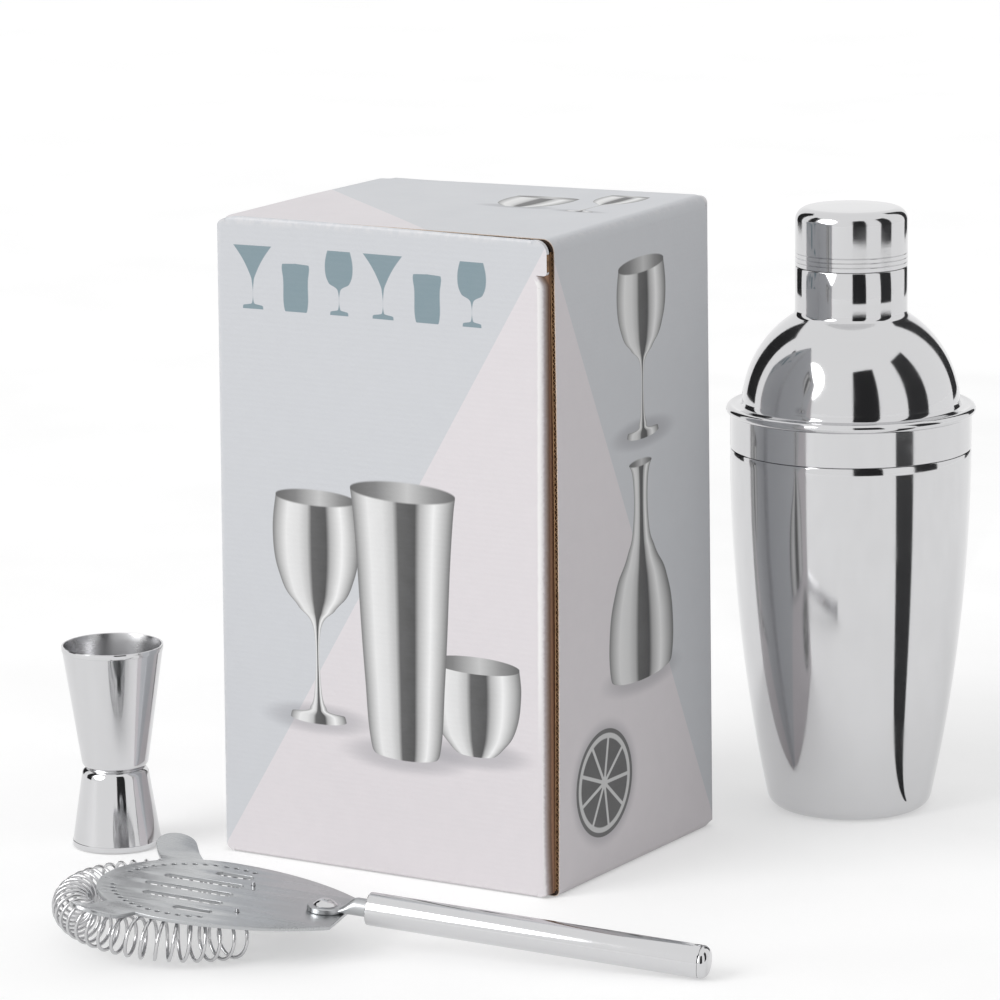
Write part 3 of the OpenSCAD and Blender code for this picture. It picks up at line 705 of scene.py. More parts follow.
# the fold at the seam carries painted shade of the crevice in its print
slab(wrap, grids[0][1:], grids[1][1:], (SEAM, LINER, EDGE), places[1:], (False, True, True, True))
board_piece("carton_wrap", wrap, "carton",
            "front_panel", "left_panel", "back_panel", "right_panel", "glue_flap")

# Closures of the carton
# Each end has a panel hinged on the right wall, a tuck flap on its free edge and two dust flaps under it.
# The flaps are cut from the same sheet, with their flutes along the hinge, so their ends show the waves.

LEAN = math.radians(12.0)  # of the tuck flap
BOARD_Z = TALL - THICK / 2.0
LID_START = HALF_W - SOFT_R - 4 * NICK
LID_END = 6.0 - HALF_W
TUCK_X = 3.0 - HALF_W
TUCK_ROOT = 3.0
TUCK_LEN = 34.0
TUCK_HALF = cad_box("tuck_flap")[1][1]
TUCK_START = np.array((TUCK_X + TUCK_ROOT * math.sin(LEAN), 0.0, BOARD_Z - TUCK_ROOT * math.cos(LEAN)))
TUCK_OUT = np.array((-math.cos(LEAN), 0.0, -math.sin(LEAN)))
BEAD_R = 1.05  # squashed fold of the tuck flap
BEAD_X = 2.1 - HALF_W
PINCH_R = 0.5  # inside of that fold
PINCH_X = 4.6 - HALF_W
DUST_START = 5.0 - HALF_D
DUST_TIP = cad_box("front_dust_flap")[1][1]
DUST_Z = TALL - 2.6
DUST_BEND = 3.2  # how far in from the wall the fold of a dust flap ends
DUST_LEFT = TUCK_X + TUCK_LEN * math.sin(LEAN) + 2.0 * THICK
DUST_NARROW = 2.2  # of a dust flap's left side over its length
DUST_TAPER = 0.7  # of its right side for each mm
CREASE_COLUMNS = 23
END_RUN = 4.0  # how far in from its ends a fold gives way
FLAP_RISE = 0.37  # half height of the waves in a flap


def fluted(origin, along, across, up, length, span, slots, place=None, lines=12):
    """A flat flap: two liners with the wavy sheet between them. span gives its two sides at each length."""
    mesh = new_mesh()
    origin, along, across, up = (np.array(v, float) for v in (origin, along, across, up))
    rounding = length - CORNER_R * (1.0 - np.cos(np.linspace(0.0, np.pi / 2.0, 8)))
    spots = np.unique(np.concatenate((np.linspace(0.0, length, lines), rounding)))

    def sheet_at(values, heights, columns, inset=0.0):
        rows = []
        for s, h in zip(values, heights):
            low, high = span(s)
            rows.append([origin + along * s + across * c + up * h
                         for c in np.linspace(low + inset, high - inset, columns)])
        return np.array(rows)

    for side, slot in ((1.0, slots[0]), (-1.0, slots[1])):
        heights = [np.full_like(spots, side * (THICK / 2.0 - depth)) for depth in (0.0, LINING)]
        outer, inner = (sheet_at(spots, height, 9) for height in heights)
        printed = place(outer) if place and side > 0 else None
        slab(mesh, outer, inner, (slot, EDGE, CUT if side > 0 else EDGE), printed)
    fine = np.arange(0.3, length - 0.3, FLUTE / 8.0)
    wave = FLAP_RISE * np.cos(2.0 * np.pi * fine / FLUTE)
    waves = [sheet_at(fine, wave + t, 2, NICK) for t in (NICK, -NICK)]
    slab(mesh, waves[0], waves[1], (EDGE, EDGE, EDGE))
    return mesh


def resample(points, count):
    points = np.array(points, float)
    run = np.concatenate(([0.0], np.cumsum(np.linalg.norm(np.diff(points, axis=0), axis=1))))
    at = np.linspace(0.0, run[-1], count)
    return np.stack([np.interp(at, run, points[:, k]) for k in range(2)], axis=1)


def arc(cx, cy, r, a0, a1, count=9):
    return [(cx + r * math.cos(a), cy + r * math.sin(a)) for a in np.radians(np.linspace(a0, a1, count))]


def on_front(points):
    return np.stack((points[:, :, 0] + HALF_W, points[:, :, 2]), axis=2)


def on_side(points):
    return np.stack((points[:, :, 1] + HALF_D, points[:, :, 2]), axis=2)


def on_top(points):
    return points[:, :, :2] + np.array((HALF_W, HALF_D))


def crease(outer, inner, axis, low, high, prints, ends, lift):
    """A pressed fold: the outline of its two faces, drawn out along an axis. prints shares out the outer
    face, and lift raises the middle of the outline at each place along the axis."""
    mesh = new_mesh()
    near_ends = np.arange(1.0, END_RUN + 1.0)
    stations = np.unique(np.concatenate((np.linspace(low, high, 7), low + near_ends, high - near_ends)))
    arch = np.sin(np.linspace(0.0, np.pi, CREASE_COLUMNS))
    sheets = []
    for line in (outer, inner):
        line = resample(line, CREASE_COLUMNS)
        rows = []
        for c in stations:
            along = np.full(CREASE_COLUMNS, c)
            height = line[:, 1] + lift(c) * arch
            cells = (line[:, 0], along, height) if axis == "y" else (along, line[:, 0], height)
            rows.append(np.stack(cells, axis=1))
        sheets.append(np.array(rows))
    slab(mesh, sheets[0], sheets[1], (None, LINER, EDGE), None, TOP_AND_FOOT)
    lining = 0.85 * sheets[0][0] + 0.15 * sheets[1][0]
    for first, second, slot in ((sheets[0][0], lining, ends[0]), (lining, sheets[1][0], ends[1]),
                                (sheets[0][-1], sheets[1][-1], ends[2])):
        grid(mesh, np.stack((first, second)), slot)
    for first, last, slot, place in prints:
        part = sheets[0][:, first:last]
        grid(mesh, part, slot, place(part))
    return mesh


def turn_over(mesh):
    mesh["points"] = [(x, y, TALL - z) for x, y, z in mesh["points"]]
    for number, slot in enumerate(mesh["slots"]):
        if slot in (FRONT, SIDE):
            mesh["places"][number] = [(u, TALL - v) for u, v in mesh["places"][number]]
    return mesh


def turn_round(mesh):
    mesh["points"] = [(x, -y, z) for x, y, z in mesh["points"]]
    return mesh


def end_dip(y, depth):
    """How far a fold gives way at its end."""
    return -depth * (max(0.0, y - LID_HALF + END_RUN) / END_RUN) ** 2


def lid_board():
    return fluted((LID_START, 0.0, BOARD_Z), (-1.0, 0.0, 0.0), (0.0, 1.0, 0.0), (0.0, 0.0, 1.0),
                  LID_START - LID_END, lambda s: (-LID_HALF, LID_HALF), (TOP, LINER), on_top, 20)


def lid_fold(r, sag):
    inner_r = max(0.4, r - THICK)
    outer = arc(HALF_W - r, TALL - r, r, 0.0, 90.0) + [(LID_START, TALL)]
    inner = [(HALF_W - THICK, TALL - r)]
    inner += arc(HALF_W - THICK - inner_r, TALL - THICK - inner_r, inner_r, 0.0, 90.0)
    inner += [(LID_START, TALL - THICK)]
    middle_column = CREASE_COLUMNS // 2
    prints = ((0, middle_column + 1, SIDE, on_side), (middle_column, CREASE_COLUMNS, TOP, on_top))
    # painted shade: the fold's front end takes the near-black kraft for the shade there
    return crease(outer, inner, "y", -LID_HALF, LID_HALF, prints, (CUT, PAINTED_SHADE, FOLD),
                  lambda y: end_dip(y, sag))


def tuck_board():
    length = TUCK_LEN - TUCK_ROOT

    def ends(s):
        rounding = max(0.0, s - length + CORNER_R)
        half = TUCK_HALF - CORNER_R + math.sqrt(max(0.0, CORNER_R ** 2 - rounding ** 2))
        return -half, half

    return fluted(TUCK_START, (math.sin(LEAN), 0.0, -math.cos(LEAN)), (0.0, 1.0, 0.0), TUCK_OUT, length,
                  ends, (FOLD, LINER))


def tuck_fold():
    """The fold is squashed into a bead that lies over the top edge of the left wall."""
    feet = [tuple((TUCK_START + side * THICK / 2.0 * TUCK_OUT)[[0, 2]]) for side in (1.0, -1.0)]
    outer = [(LID_END, TALL)] + arc(BEAD_X, TALL - BEAD_R, BEAD_R, 90.0, 260.0)
    outer += [(BEAD_X + 0.2, DUST_Z), feet[0]]
    inner = [(LID_END, TALL - THICK)] + arc(PINCH_X, TALL - THICK - PINCH_R, PINCH_R, 90.0, 192.0)
    inner += [feet[1]]
    return crease(outer, inner, "y", -LID_HALF, LID_HALF, ((0, CREASE_COLUMNS, TOP, on_top),),
                  (FOLD, FOLD, FOLD), lambda y: end_dip(abs(y), 1.3))


def dust_board():
    length = DUST_TIP - DUST_START

    def sides(s):
        return DUST_LEFT + DUST_NARROW * s / length, CREST_RIGHT - 1.0 - DUST_TAPER * s

    return fluted((0.0, DUST_START, DUST_Z), (0.0, 1.0, 0.0), (1.0, 0.0, 0.0), (0.0, 0.0, 1.0), length,
                  sides, (FOLD, LINER))


def dust_fold(r, over, lifts):
    """A fold that may stand over the wall. lifts raise it at its left, a little in, and at its right."""
    upper, lower = DUST_Z + THICK / 2.0, DUST_Z - THICK / 2.0
    outer = [(-HALF_D, TALL - CREASE)] + arc(r - HALF_D, TALL + over - r, r, 180.0, 53.1)
    outer += [(DUST_BEND + 0.27 - HALF_D, upper), (DUST_START, upper)]
    inner = [(THICK - HALF_D, TALL - CREASE), (THICK - HALF_D, TALL - CREASE + NICK)]
    inner += [(DUST_BEND - 0.27 - HALF_D, lower), (DUST_START, lower)]
    stops = (CREST_LEFT, CREST_LEFT + END_RUN, CREST_RIGHT)
    return crease(outer, inner, "x", CREST_LEFT, CREST_RIGHT, ((0, CREASE_COLUMNS, FRONT, on_front),),
                  (FOLD, FOLD, FOLD), lambda x: float(np.interp(x, stops, lifts)))


def joined(*meshes):
    whole = new_mesh()
    for mesh in meshes:
        base = len(whole["points"])
        whole["points"] += mesh["points"]
        whole["faces"] += [tuple(base + c for c in face) for face in mesh["faces"]]
        whole["slots"] += mesh["slots"]
        whole["places"] += mesh["places"]
    return whole


def low_dust_fold():
    return dust_fold(0.5, 0.0, (0.0, 0.0, 0.0))


base = joined(lid_board(), lid_fold(FOOT_R, SEAM_LIFT), tuck_board(), tuck_fold(), dust_board(),
              low_dust_fold(), turn_round(dust_board()), turn_round(low_dust_fold()))
board_piece("carton_base", turn_over(base), "carton",
            "bottom_panel", "bottom_tuck_flap", "bottom_front_flap", "bottom_back_flap")
board_piece("lid_board", lid_board(), "lid", "lid_panel")
board_piece("tuck_board", tuck_board(), "tuck", "tuck_flap")
board_piece("front_dust_board", dust_board(), "front_dust", "front_dust_flap")
board_piece("back_dust_board", turn_round(dust_board()), "back_dust", "back_dust_flap")
front_fold = dust_fold(1.0, 0.2, (0.0, 0.6, -0.35))
back_fold = turn_round(dust_fold(1.0, 0.2, (-DROP, -DROP, -DROP)))
for name, mesh, first, second, start, end in (
        ("lid_crease", lid_fold(SOFT_R, 0.0), "carton", "lid",
         (HALF_W, 0.0, TALL - SOFT_R), (LID_START, 0.0, TALL)),
        ("tuck_crease", tuck_fold(), "lid", "tuck",
         (LID_END - 0.7, 0.0, TALL), (TUCK_X, 0.0, TALL - 2.6)),
        ("front_dust_crease", front_fold, "carton", "front_dust",
         (0.0, -HALF_D, TALL - 1.8), (0.0, 1.8 - HALF_D, TALL - 0.4)),
        ("back_dust_crease", back_fold, "carton", "back_dust",
         (0.0, HALF_D, TALL - 1.8), (0.0, HALF_D - 1.8, TALL - 0.4))):
    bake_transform(board_piece(name, mesh, None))

# Shaker cup
# A tumbler pressed from 0.8 mm stainless steel, swelling to a straight mouth and buffed bright outside.
# Buffing leaves hair lines round it, and handling leaves faint smears.


def polish_marks():
    """Hair lines along the buffing, and smears from handling."""
    tree, (lines,), result = new_group("polish_marks", ("Lines",), ("Hair", "Smear"))
    u, v = print_place(tree)
    spot = add_node(tree, "CombineXYZ", {0: u * 0.02, 1: v * lines})
    give(result,
         Hair=add_node(tree, "TexNoise", {"Vector": spot, "Scale": 1.0, "Detail": 4.0}),
         Smear=ease(noise(tree, 38.0, 4.0, roughness=0.6), 0.46, 0.72))
    return tree


POLISH_MARKS = polish_marks()


def steel(name, tint, gloss, smear, lines, strength):
    made, tree, shader = new_material(name)
    marks = use_group(tree, POLISH_MARKS, Lines=lines)
    dark = tuple(c * 0.90 for c in tint)
    give(shader, Metallic=1.0, Base_Color=blend_colour(marks["Hair"] * 0.5, tint + (1.0,), dark + (1.0,)),
         Roughness=marks["Smear"] * smear + gloss + marks["Hair"] * (gloss * 0.5),
         Normal=relief(marks["Hair"], strength, 0.0001))
    return made


mirror_steel = steel("mirror_steel", (0.66, 0.66, 0.67), 0.055, 0.06, 9.0, 0.02)
pressed_steel = steel("pressed_steel", (0.52, 0.52, 0.53), 0.20, 0.10, 5.0, 0.06)
satin_steel = steel("satin_steel", (0.50, 0.51, 0.52), 0.22, 0.08, 7.0, 0.10)
wire_steel = steel("wire_steel", (0.60, 0.60, 0.61), 0.12, 0.05, 12.0, 0.05)


def turned(outline, centre, slots=None, segments=168):
    """A shape turned on an upright axis. outline is a list of (radius, height), with a slot for each step.
    The places for the polish marks run round it and along the outline."""
    mesh = new_mesh()
    turns = np.linspace(0.0, 2.0 * np.pi, segments, endpoint=False)
    run = np.concatenate(([0.0], np.cumsum(np.hypot(*np.diff(np.array(outline), axis=0).T))))
    around = np.stack((np.cos(turns), np.sin(turns), np.zeros(segments)), axis=1)
    rings = [r * around + (*centre, z) for r, z in outline]
    spots = [np.stack((np.abs(turns - np.pi) * 60.0, np.full_like(turns, s)), axis=1) for s in run]
    for k in range(len(outline) - 1):
        grid(mesh, np.stack(rings[k:k + 2]), slots[k] if slots else 0, np.stack(spots[k:k + 2]), True)
    return mesh


def pressed_shell(name, outside, inside, centre, segments=168):
    """A turned shell, buffed along its outside line and left as pressed along its inside line."""
    slots = [0] * (len(outside) - 1) + [1] * len(inside)
    mesh = turned(outside + inside, centre, slots, segments)
    return make_object(name, mesh, (mirror_steel, pressed_steel))


def middle(node):
    low, high = cad_box(node)
    return tuple((low + high)[:2] / 2.0)


SHAKER = middle("shaker_cup")
SHEET = 0.8
CUP_TALL = float(cad_box("shaker_cup")[1][2])
CUP_R = 43.0  # mouth
CUP_TAPER = 14.25
CUP_CORNER_R = 5.5
DISH = ((0.0, 0.7), (17.0, 0.7), (19.5, 0.5), (22.0, 0.05))  # base, pressed in a little
SIDE_R = (CUP_TALL ** 2 + CUP_TAPER ** 2) / (2.0 * CUP_TAPER)
SIDE_X = CUP_R - SIDE_R
CUP_CORNER_X = SIDE_X + math.sqrt((SIDE_R - CUP_CORNER_R) ** 2 - (CUP_TALL - CUP_CORNER_R) ** 2)


def cup_line(inset):
    """The cup's corner and side, up to its rim."""
    meet = math.degrees(math.atan2(CUP_TALL - CUP_CORNER_R, CUP_CORNER_X - SIDE_X))
    corner = arc(CUP_CORNER_X, CUP_CORNER_R, CUP_CORNER_R - inset, -90.0, -meet)
    return corner + arc(SIDE_X, CUP_TALL, SIDE_R - inset, -meet, 0.0, 40)[1:-1]


outside = [*DISH, (23.5, 0.0)] + cup_line(0.0)
outside += [(CUP_R, CUP_TALL - 0.25), (CUP_R - 0.1, CUP_TALL - 0.07), (CUP_R - 0.4, CUP_TALL)]
outside += [(CUP_R - 0.7, CUP_TALL - 0.07)]
inside = [(CUP_R - SHEET, CUP_TALL - 0.3)] + cup_line(SHEET)[::-1]
inside += [(r, z + SHEET) for r, z in DISH[::-1]]
put(pressed_shell("shaker_cup_shell", outside, inside, SHAKER), "cup", "polished_steel", "shaker_cup")

# Strainer top of the shaker
# Pressed from one blank: a spigot that plugs the cup, a skirt, a rolled bead, a round dome and a neck.
# The neck ends in a pierced sieve that the cap slips over.

SPIGOT_R = 42.05
SPIGOT_Z = float(cad_box("strainer_top")[0][2])
SPIGOT_IN = SPIGOT_R - SHEET
COLLAR_R = 19.05  # under the cap
COLLAR_TOP = float(cad_box("strainer_top")[1][2])
COLLAR_SOFT = 1.5
ROLL_R = 1.6  # bead
ROLL_X = CUP_R - 0.1
ROLL_Z = CUP_TALL + 14.1
DOME_R = 38.9
DOME_Z = ROLL_Z + SHEET
DOME_IN_END = 58.6
NECK_R = 20.0
NECK_TOP = COLLAR_TOP - 12.0
FILLET_R = 2.5  # between dome and neck
FILLET_X = NECK_R + FILLET_R
FILLET_Z = DOME_Z + math.sqrt((DOME_R + FILLET_R) ** 2 - FILLET_X ** 2)
DOME_END = math.degrees(math.acos(FILLET_X / (DOME_R + FILLET_R)))
SIEVE_R = 16.4

outside = [(SPIGOT_IN, SPIGOT_Z), (SPIGOT_IN + 0.35, SPIGOT_Z), (SPIGOT_R, SPIGOT_Z + 0.6)]
outside += [(SPIGOT_R, CUP_TALL + 0.1), (CUP_R - 0.2, CUP_TALL + 0.12), (CUP_R, CUP_TALL + 0.35)]
outside += [(CUP_R, ROLL_Z - ROLL_R - 0.1)] + arc(ROLL_X, ROLL_Z, ROLL_R, -72.0, 118.0, 15)
outside += [(DOME_R + 1.7, DOME_Z + 0.5), (DOME_R + 0.4, DOME_Z + 0.8)]
outside += arc(0.0, DOME_Z, DOME_R, 2.2, DOME_END, 34)
outside += arc(FILLET_X, FILLET_Z, FILLET_R, 180.0 + DOME_END, 180.0, 8)
outside += [(NECK_R, FILLET_Z + 4.0), (NECK_R, NECK_TOP - 0.26), (NECK_R - 0.2, NECK_TOP)]
outside += [(NECK_R - SHEET, NECK_TOP), (COLLAR_R, NECK_TOP + 0.24)]
outside += [(COLLAR_R, COLLAR_TOP - COLLAR_SOFT - 0.1)]
outside += arc(COLLAR_R - COLLAR_SOFT, COLLAR_TOP - COLLAR_SOFT, COLLAR_SOFT, 0.0, 90.0, 6)
outside += [(SIEVE_R, COLLAR_TOP)]
inside = [(SIEVE_R, COLLAR_TOP - SHEET), (COLLAR_R - SHEET, COLLAR_TOP - COLLAR_SOFT)]
inside += [(COLLAR_R - SHEET, NECK_TOP - SHEET), (NECK_R - SHEET, NECK_TOP - 1.5 * SHEET)]
inside += [(NECK_R - SHEET, FILLET_Z)] + arc(0.0, DOME_Z, DOME_R - SHEET, DOME_IN_END, 3.0, 22)
inside += [(DOME_R - 0.3, DOME_Z + 0.8), (CUP_R - SHEET, ROLL_Z - SHEET), (CUP_R - SHEET, CUP_TALL + 1.9)]
inside += [(SPIGOT_IN, CUP_TALL + 1.5), outside[0]]
put(pressed_shell("strainer_top_shell", outside, inside, SHAKER), "top", "polished_steel", "strainer_top")


def pierced(name, outlines, thickness, soft, material):
    """A flat blank with soft edges: the first outline is its edge and the rest are holes, in mm."""
    line = bpy.data.curves.new(name, "CURVE")
    line.dimensions = "2D"
    line.fill_mode = "BOTH"
    line.extrude = (thickness / 2.0 - soft) * MM
    line.bevel_depth = soft * MM
    line.bevel_resolution = 2
    line.offset = -soft * MM
    for outline in outlines:
        spline = line.splines.new("POLY")
        spline.points.add(len(outline) - 1)
        for point, (x, y) in zip(spline.points, outline):
            point.co = (x * MM, y * MM, 0.0, 1.0)
        spline.use_cyclic_u = True
    holder = bpy.data.objects.new(name + "_line", line)
    bpy.context.scene.collection.objects.link(holder)
    bpy.context.view_layer.update()
    shape = holder.evaluated_get(bpy.context.evaluated_depsgraph_get())
    data = bpy.data.meshes.new_from_object(shape)
    bpy.data.objects.remove(holder)
    data.transform(Matrix.Translation((0.0, 0.0, thickness / 2.0 * MM)))
    data.name = name
    data.materials.clear()
    data.materials.append(material)
    data.polygons.foreach_set("material_index", [0] * len(data.polygons))
    return data


def finish_blank(name, data, place):
    """Note where each point lies on the blank, for the polish marks, and move the blank to its place."""
    spots = data.uv_layers.new(name="print").data
    for loop in data.loops:
        spots[loop.index].uv = data.vertices[loop.vertex_index].co.xy / MM
    data.transform(place)
    return show(name, data, 32.0)


def ring_line(x, y, r, count=20):
    return arc(x, y, r, 0.0, 360.0, count + 1)[:-1]


SIEVE_PITCH = 5.9
SIEVE_HOLE_R = 1.5
sieve_lines = [ring_line(0.0, 0.0, SIEVE_R + 0.2, 96), ring_line(0.0, 0.0, SIEVE_HOLE_R)]
for ring in (1, 2):
    for x, y in ring_line(0.0, 0.0, SIEVE_PITCH * ring, 6 * ring):
        sieve_lines.append(ring_line(x, y, SIEVE_HOLE_R))
sieve = finish_blank("sieve_disc", pierced("sieve_disc", sieve_lines, SHEET, 0.12, pressed_steel),
                     Matrix.Translation((SHAKER[0] * MM, SHAKER[1] * MM, (COLLAR_TOP - SHEET) * MM)))
put(sieve, "top", "polished_steel")

# Cap of the shaker
# A small drawn cup that slips over the sieve and serves as a measure.
# Three fine lines are turned round it near its rim.

CAP_Z = NECK_TOP + 0.1
CAP_TOP = float(cad_box("shaker_cap")[1][2])
CROWN = 0.04  # of its flat top
CAP_CORNER_R = 4.5
CAP_CORNER_X = NECK_R - CAP_CORNER_R
LINE_PITCH = 1.6
LINE_R = NECK_R - 0.22

outside = [(NECK_R - SHEET, CAP_Z), (NECK_R - 0.3, CAP_Z), (NECK_R, CAP_Z + 0.29)]
for number in (1, 2, 3):
    z = CAP_Z + LINE_PITCH * number
    outside += [(NECK_R, z), (LINE_R, z + 0.14), (LINE_R, z + 0.26), (NECK_R, z + 0.40)]
outside += [(NECK_R, CAP_Z + 8.14)]
outside += arc(CAP_CORNER_X, CAP_TOP - CAP_CORNER_R, CAP_CORNER_R, 0.0, 90.0, 12)
outside += [(8.0, CAP_TOP + CROWN / 2.0), (0.0, CAP_TOP + CROWN)]
inside = [(0.0, CAP_TOP - SHEET), (CAP_CORNER_X, CAP_TOP - SHEET)]
inside += arc(CAP_CORNER_X, CAP_TOP - CAP_CORNER_R, CAP_CORNER_R - SHEET, 90.0, 0.0, 10) + [outside[0]]
put(pressed_shell("shaker_cap_shell", outside, inside, SHAKER), "cap", "polished_steel", "shaker_cap")

# Jigger
# Two spun measures brazed end to end: the large one opens upwards and the small one stands on its rim.
# Each rim is rounded, and a fine fillet of braze shows at the waist.

JIGGER = middle("jigger_large_cup")
WAIST_R = 11.5
WAIST_Z = float(cad_box("jigger_small_cup")[1][2])
RIM_Z = float(cad_box("jigger_large_cup")[1][2])
LARGE_R = 18.0  # mouths
SMALL_R = 15.8


def measure_lines(height, mouth):
    """The outside and the inside of a measure, from the middle of its base."""
    slope = (mouth - WAIST_R) / height
    outer = [(0.0, 0.0)]
    outer += [(WAIST_R - r, h) for r, h in ((1.9, 0.0), (1.2, 0.06), (0.75, 0.35), (0.3, 0.85))]
    outer += [(WAIST_R + slope * h, h) for h in (1.6, *np.linspace(3.0, height - 2.4, 9))]
    outer += [(mouth - slope * 2.0, height - 2.0), (mouth - 0.12, height - 1.9), (mouth, height - 0.5)]
    outer += [(mouth - 0.1, height - 0.12), (mouth - 0.4, height), (mouth - 0.75, height - 0.12)]
    inner = [(mouth - 0.9, height - 0.6)]
    inner += [(WAIST_R + slope * h - 0.82, h) for h in np.linspace(height - 3.0, 2.4, 9)]
    return outer, inner + [(WAIST_R - 1.1, 1.3), (WAIST_R - 1.9, 0.85), (0.0, SHEET)]


for name, node, height, mouth, way in (
        ("jigger_large_shell", "jigger_large_cup", RIM_Z - WAIST_Z, LARGE_R, 1.0),
        ("jigger_small_shell", "jigger_small_cup", WAIST_Z, SMALL_R, -1.0)):
    lines = [[(r, WAIST_Z + way * z) for r, z in line] for line in measure_lines(height, mouth)]
    put(pressed_shell(name, *lines, JIGGER, 120), "jigger", "polished_steel", node)
braze = ((1.7, -0.45), (0.95, -0.38), (0.78, 0.0), (0.95, 0.38), (1.7, 0.45))
braze = turned([(WAIST_R - r, WAIST_Z + z) for r, z in braze], JIGGER, None, 96)
put(make_object("jigger_braze", braze, (pressed_steel,)), "jigger", "polished_steel")

# Strainer plate
# Stamped from 1.2 mm steel and brushed: a round front with a blunt tail, and two ears that rest on a glass.
# Five drain slots and two rows of small holes are punched through it.

PLATE_T = 1.2
PLATE_R = 34.0
TAIL_X = 50.6
TAIL_IN = 18.2  # how much the tail narrows on each side
TAIL_R = (TAIL_X ** 2 + TAIL_IN ** 2) / (2.0 * TAIL_IN)
EAR_TURN = math.radians(120.0)
EAR_X = 46.0
EAR_HALF = 7.0
EAR_BEND_X = 39.5
EAR_BEND_RUN = 3.5
EAR_LIFT = math.radians(18.0)
SLOT_R = 2.1
SLOT_END = 11.6
SLOT_PITCH = 10.3
SLOT_LENGTHS = (13.3, 27.7, 30.7, 27.7, 13.3)
HOLE_R = 0.9
HOLE_RING_R = 28.5
HOLE_PITCH = 3.6
HOLES_FROM = 16.0
HOLES_TO = 112.0
COIL_X = -9.0
COIL_Z = -7.1
COIL_RING_R = 33.0
COIL_TURN_R = 6.4
COIL_FROM = 30.0
COIL_TO = 330.0
COIL_TURNS = 40
HOOK_R = 0.84
LIES_AT = (-12.0, -97.0 - HALF_D, 15.73)
LIES_TURNED = math.radians(14.0)
LIES_TILTED = math.radians(4.85)  # it rests on its coil and on the end of its handle
STRAINER = (Matrix.Translation(Vector(LIES_AT) * MM)
            @ Matrix.Rotation(LIES_TURNED, 4, "Z") @ Matrix.Rotation(LIES_TILTED, 4, "Y"))


def in_plate(x, y):
    if math.hypot(x, y) <= PLATE_R:
        return True
    if 0.0 <= x <= TAIL_X and math.hypot(x, abs(y) + TAIL_R - PLATE_R) <= TAIL_R:
        return True
    for a in (EAR_TURN, -EAR_TURN):
        out = x * math.cos(a) + y * math.sin(a)
        off = y * math.cos(a) - x * math.sin(a)
        if 0.0 < out <= EAR_X and abs(off) <= EAR_HALF or math.hypot(out - EAR_X, off) <= EAR_HALF:
            return True
    return False


def plate_edge(count=900):
    """The edge of the plate, found along each ray by halving."""
    edge = []
    for a in 2.0 * np.pi * np.arange(count) / count:
        low, high = PLATE_R - 4.0, TAIL_X + 5.4
        for _ in range(24):
            mid = (low + high) / 2.0
            if in_plate(mid * math.cos(a), mid * math.sin(a)):
                low = mid
            else:
                high = mid
        edge.append((low * math.cos(a), low * math.sin(a)))
    return edge


def slot_line(y, length):
    right, left = SLOT_END - SLOT_R, SLOT_END - length + SLOT_R
    return arc(right, y, SLOT_R, -90.0, 90.0, 12) + arc(left, y, SLOT_R, 90.0, 270.0, 12)


def hole_line(x, r, turn):
    """A small hole at a turn in degrees round a point on the plate's middle line."""
    a = math.radians(turn)
    return ring_line(x + r * math.cos(a), r * math.sin(a), HOLE_R, 14)


def bend_ear(work, turn):
    """Cut an ear across where it bends, and bend it up round the middle of the plate."""
    way = Vector((math.cos(turn), math.sin(turn), 0.0))
    aside = Vector((-way.y, way.x, 0.0))
    start, run_out, middle_z = EAR_BEND_X * MM, EAR_BEND_RUN * MM, PLATE_T / 2.0 * MM
    for step in range(6):
        bmesh.ops.bisect_plane(work, geom=work.verts[:] + work.edges[:] + work.faces[:],
                               plane_co=way * (start + run_out * step / 5.0), plane_no=way)
    radius = run_out / EAR_LIFT
    for vert in work.verts:
        out = vert.co.dot(way) - start
        if out > 0.0 and abs(vert.co.dot(aside)) < (EAR_HALF + 2.0) * MM:
            bent = min(out, run_out) / radius
            rest = max(0.0, out - run_out)
            height = vert.co.z - middle_z
            run = radius * math.sin(bent) + rest * math.cos(bent) - height * math.sin(bent)
            rise = radius * (1.0 - math.cos(bent)) + rest * math.sin(bent) + height * math.cos(bent)
            vert.co = aside * vert.co.dot(aside) + way * (start + run) + Vector((0.0, 0.0, middle_z + rise))


plate_lines = [plate_edge()]
for number, length in enumerate(SLOT_LENGTHS):
    plate_lines.append(slot_line((number - 2) * SLOT_PITCH, length))
hole_step = 2.0 * math.degrees(math.asin(HOLE_PITCH / 2.0 / HOLE_RING_R))
for way in (-1.0, 1.0):
    plate_lines += [hole_line(0.0, HOLE_RING_R, 180.0 + way * a)
                    for a in np.arange(HOLES_FROM, HOLES_TO, hole_step)]
for turn, pull in ((COIL_FROM, COIL_TURN_R), (COIL_TO, HOOK_R)):
    plate_lines.append(hole_line(COIL_X, COIL_RING_R - pull, turn))
blank = pierced("strainer_plate_blank", plate_lines, PLATE_T, 0.16, satin_steel)
work = bmesh.new()
work.from_mesh(blank)
for turn in (-EAR_TURN, EAR_TURN):
    bend_ear(work, turn)
work.to_mesh(blank)
work.free()
put(finish_blank("strainer_plate_blank", blank, STRAINER), "strainer", "satin_steel", "strainer_plate")

# Coil spring
# One hard-drawn wire wound into forty turns and bent round into a ring under the plate.
# Both ends are hooked up through holes in the plate.

WIRE_R = 0.6
WIRE_TOP = 2.4  # end of the hooks, over the underside of the plate


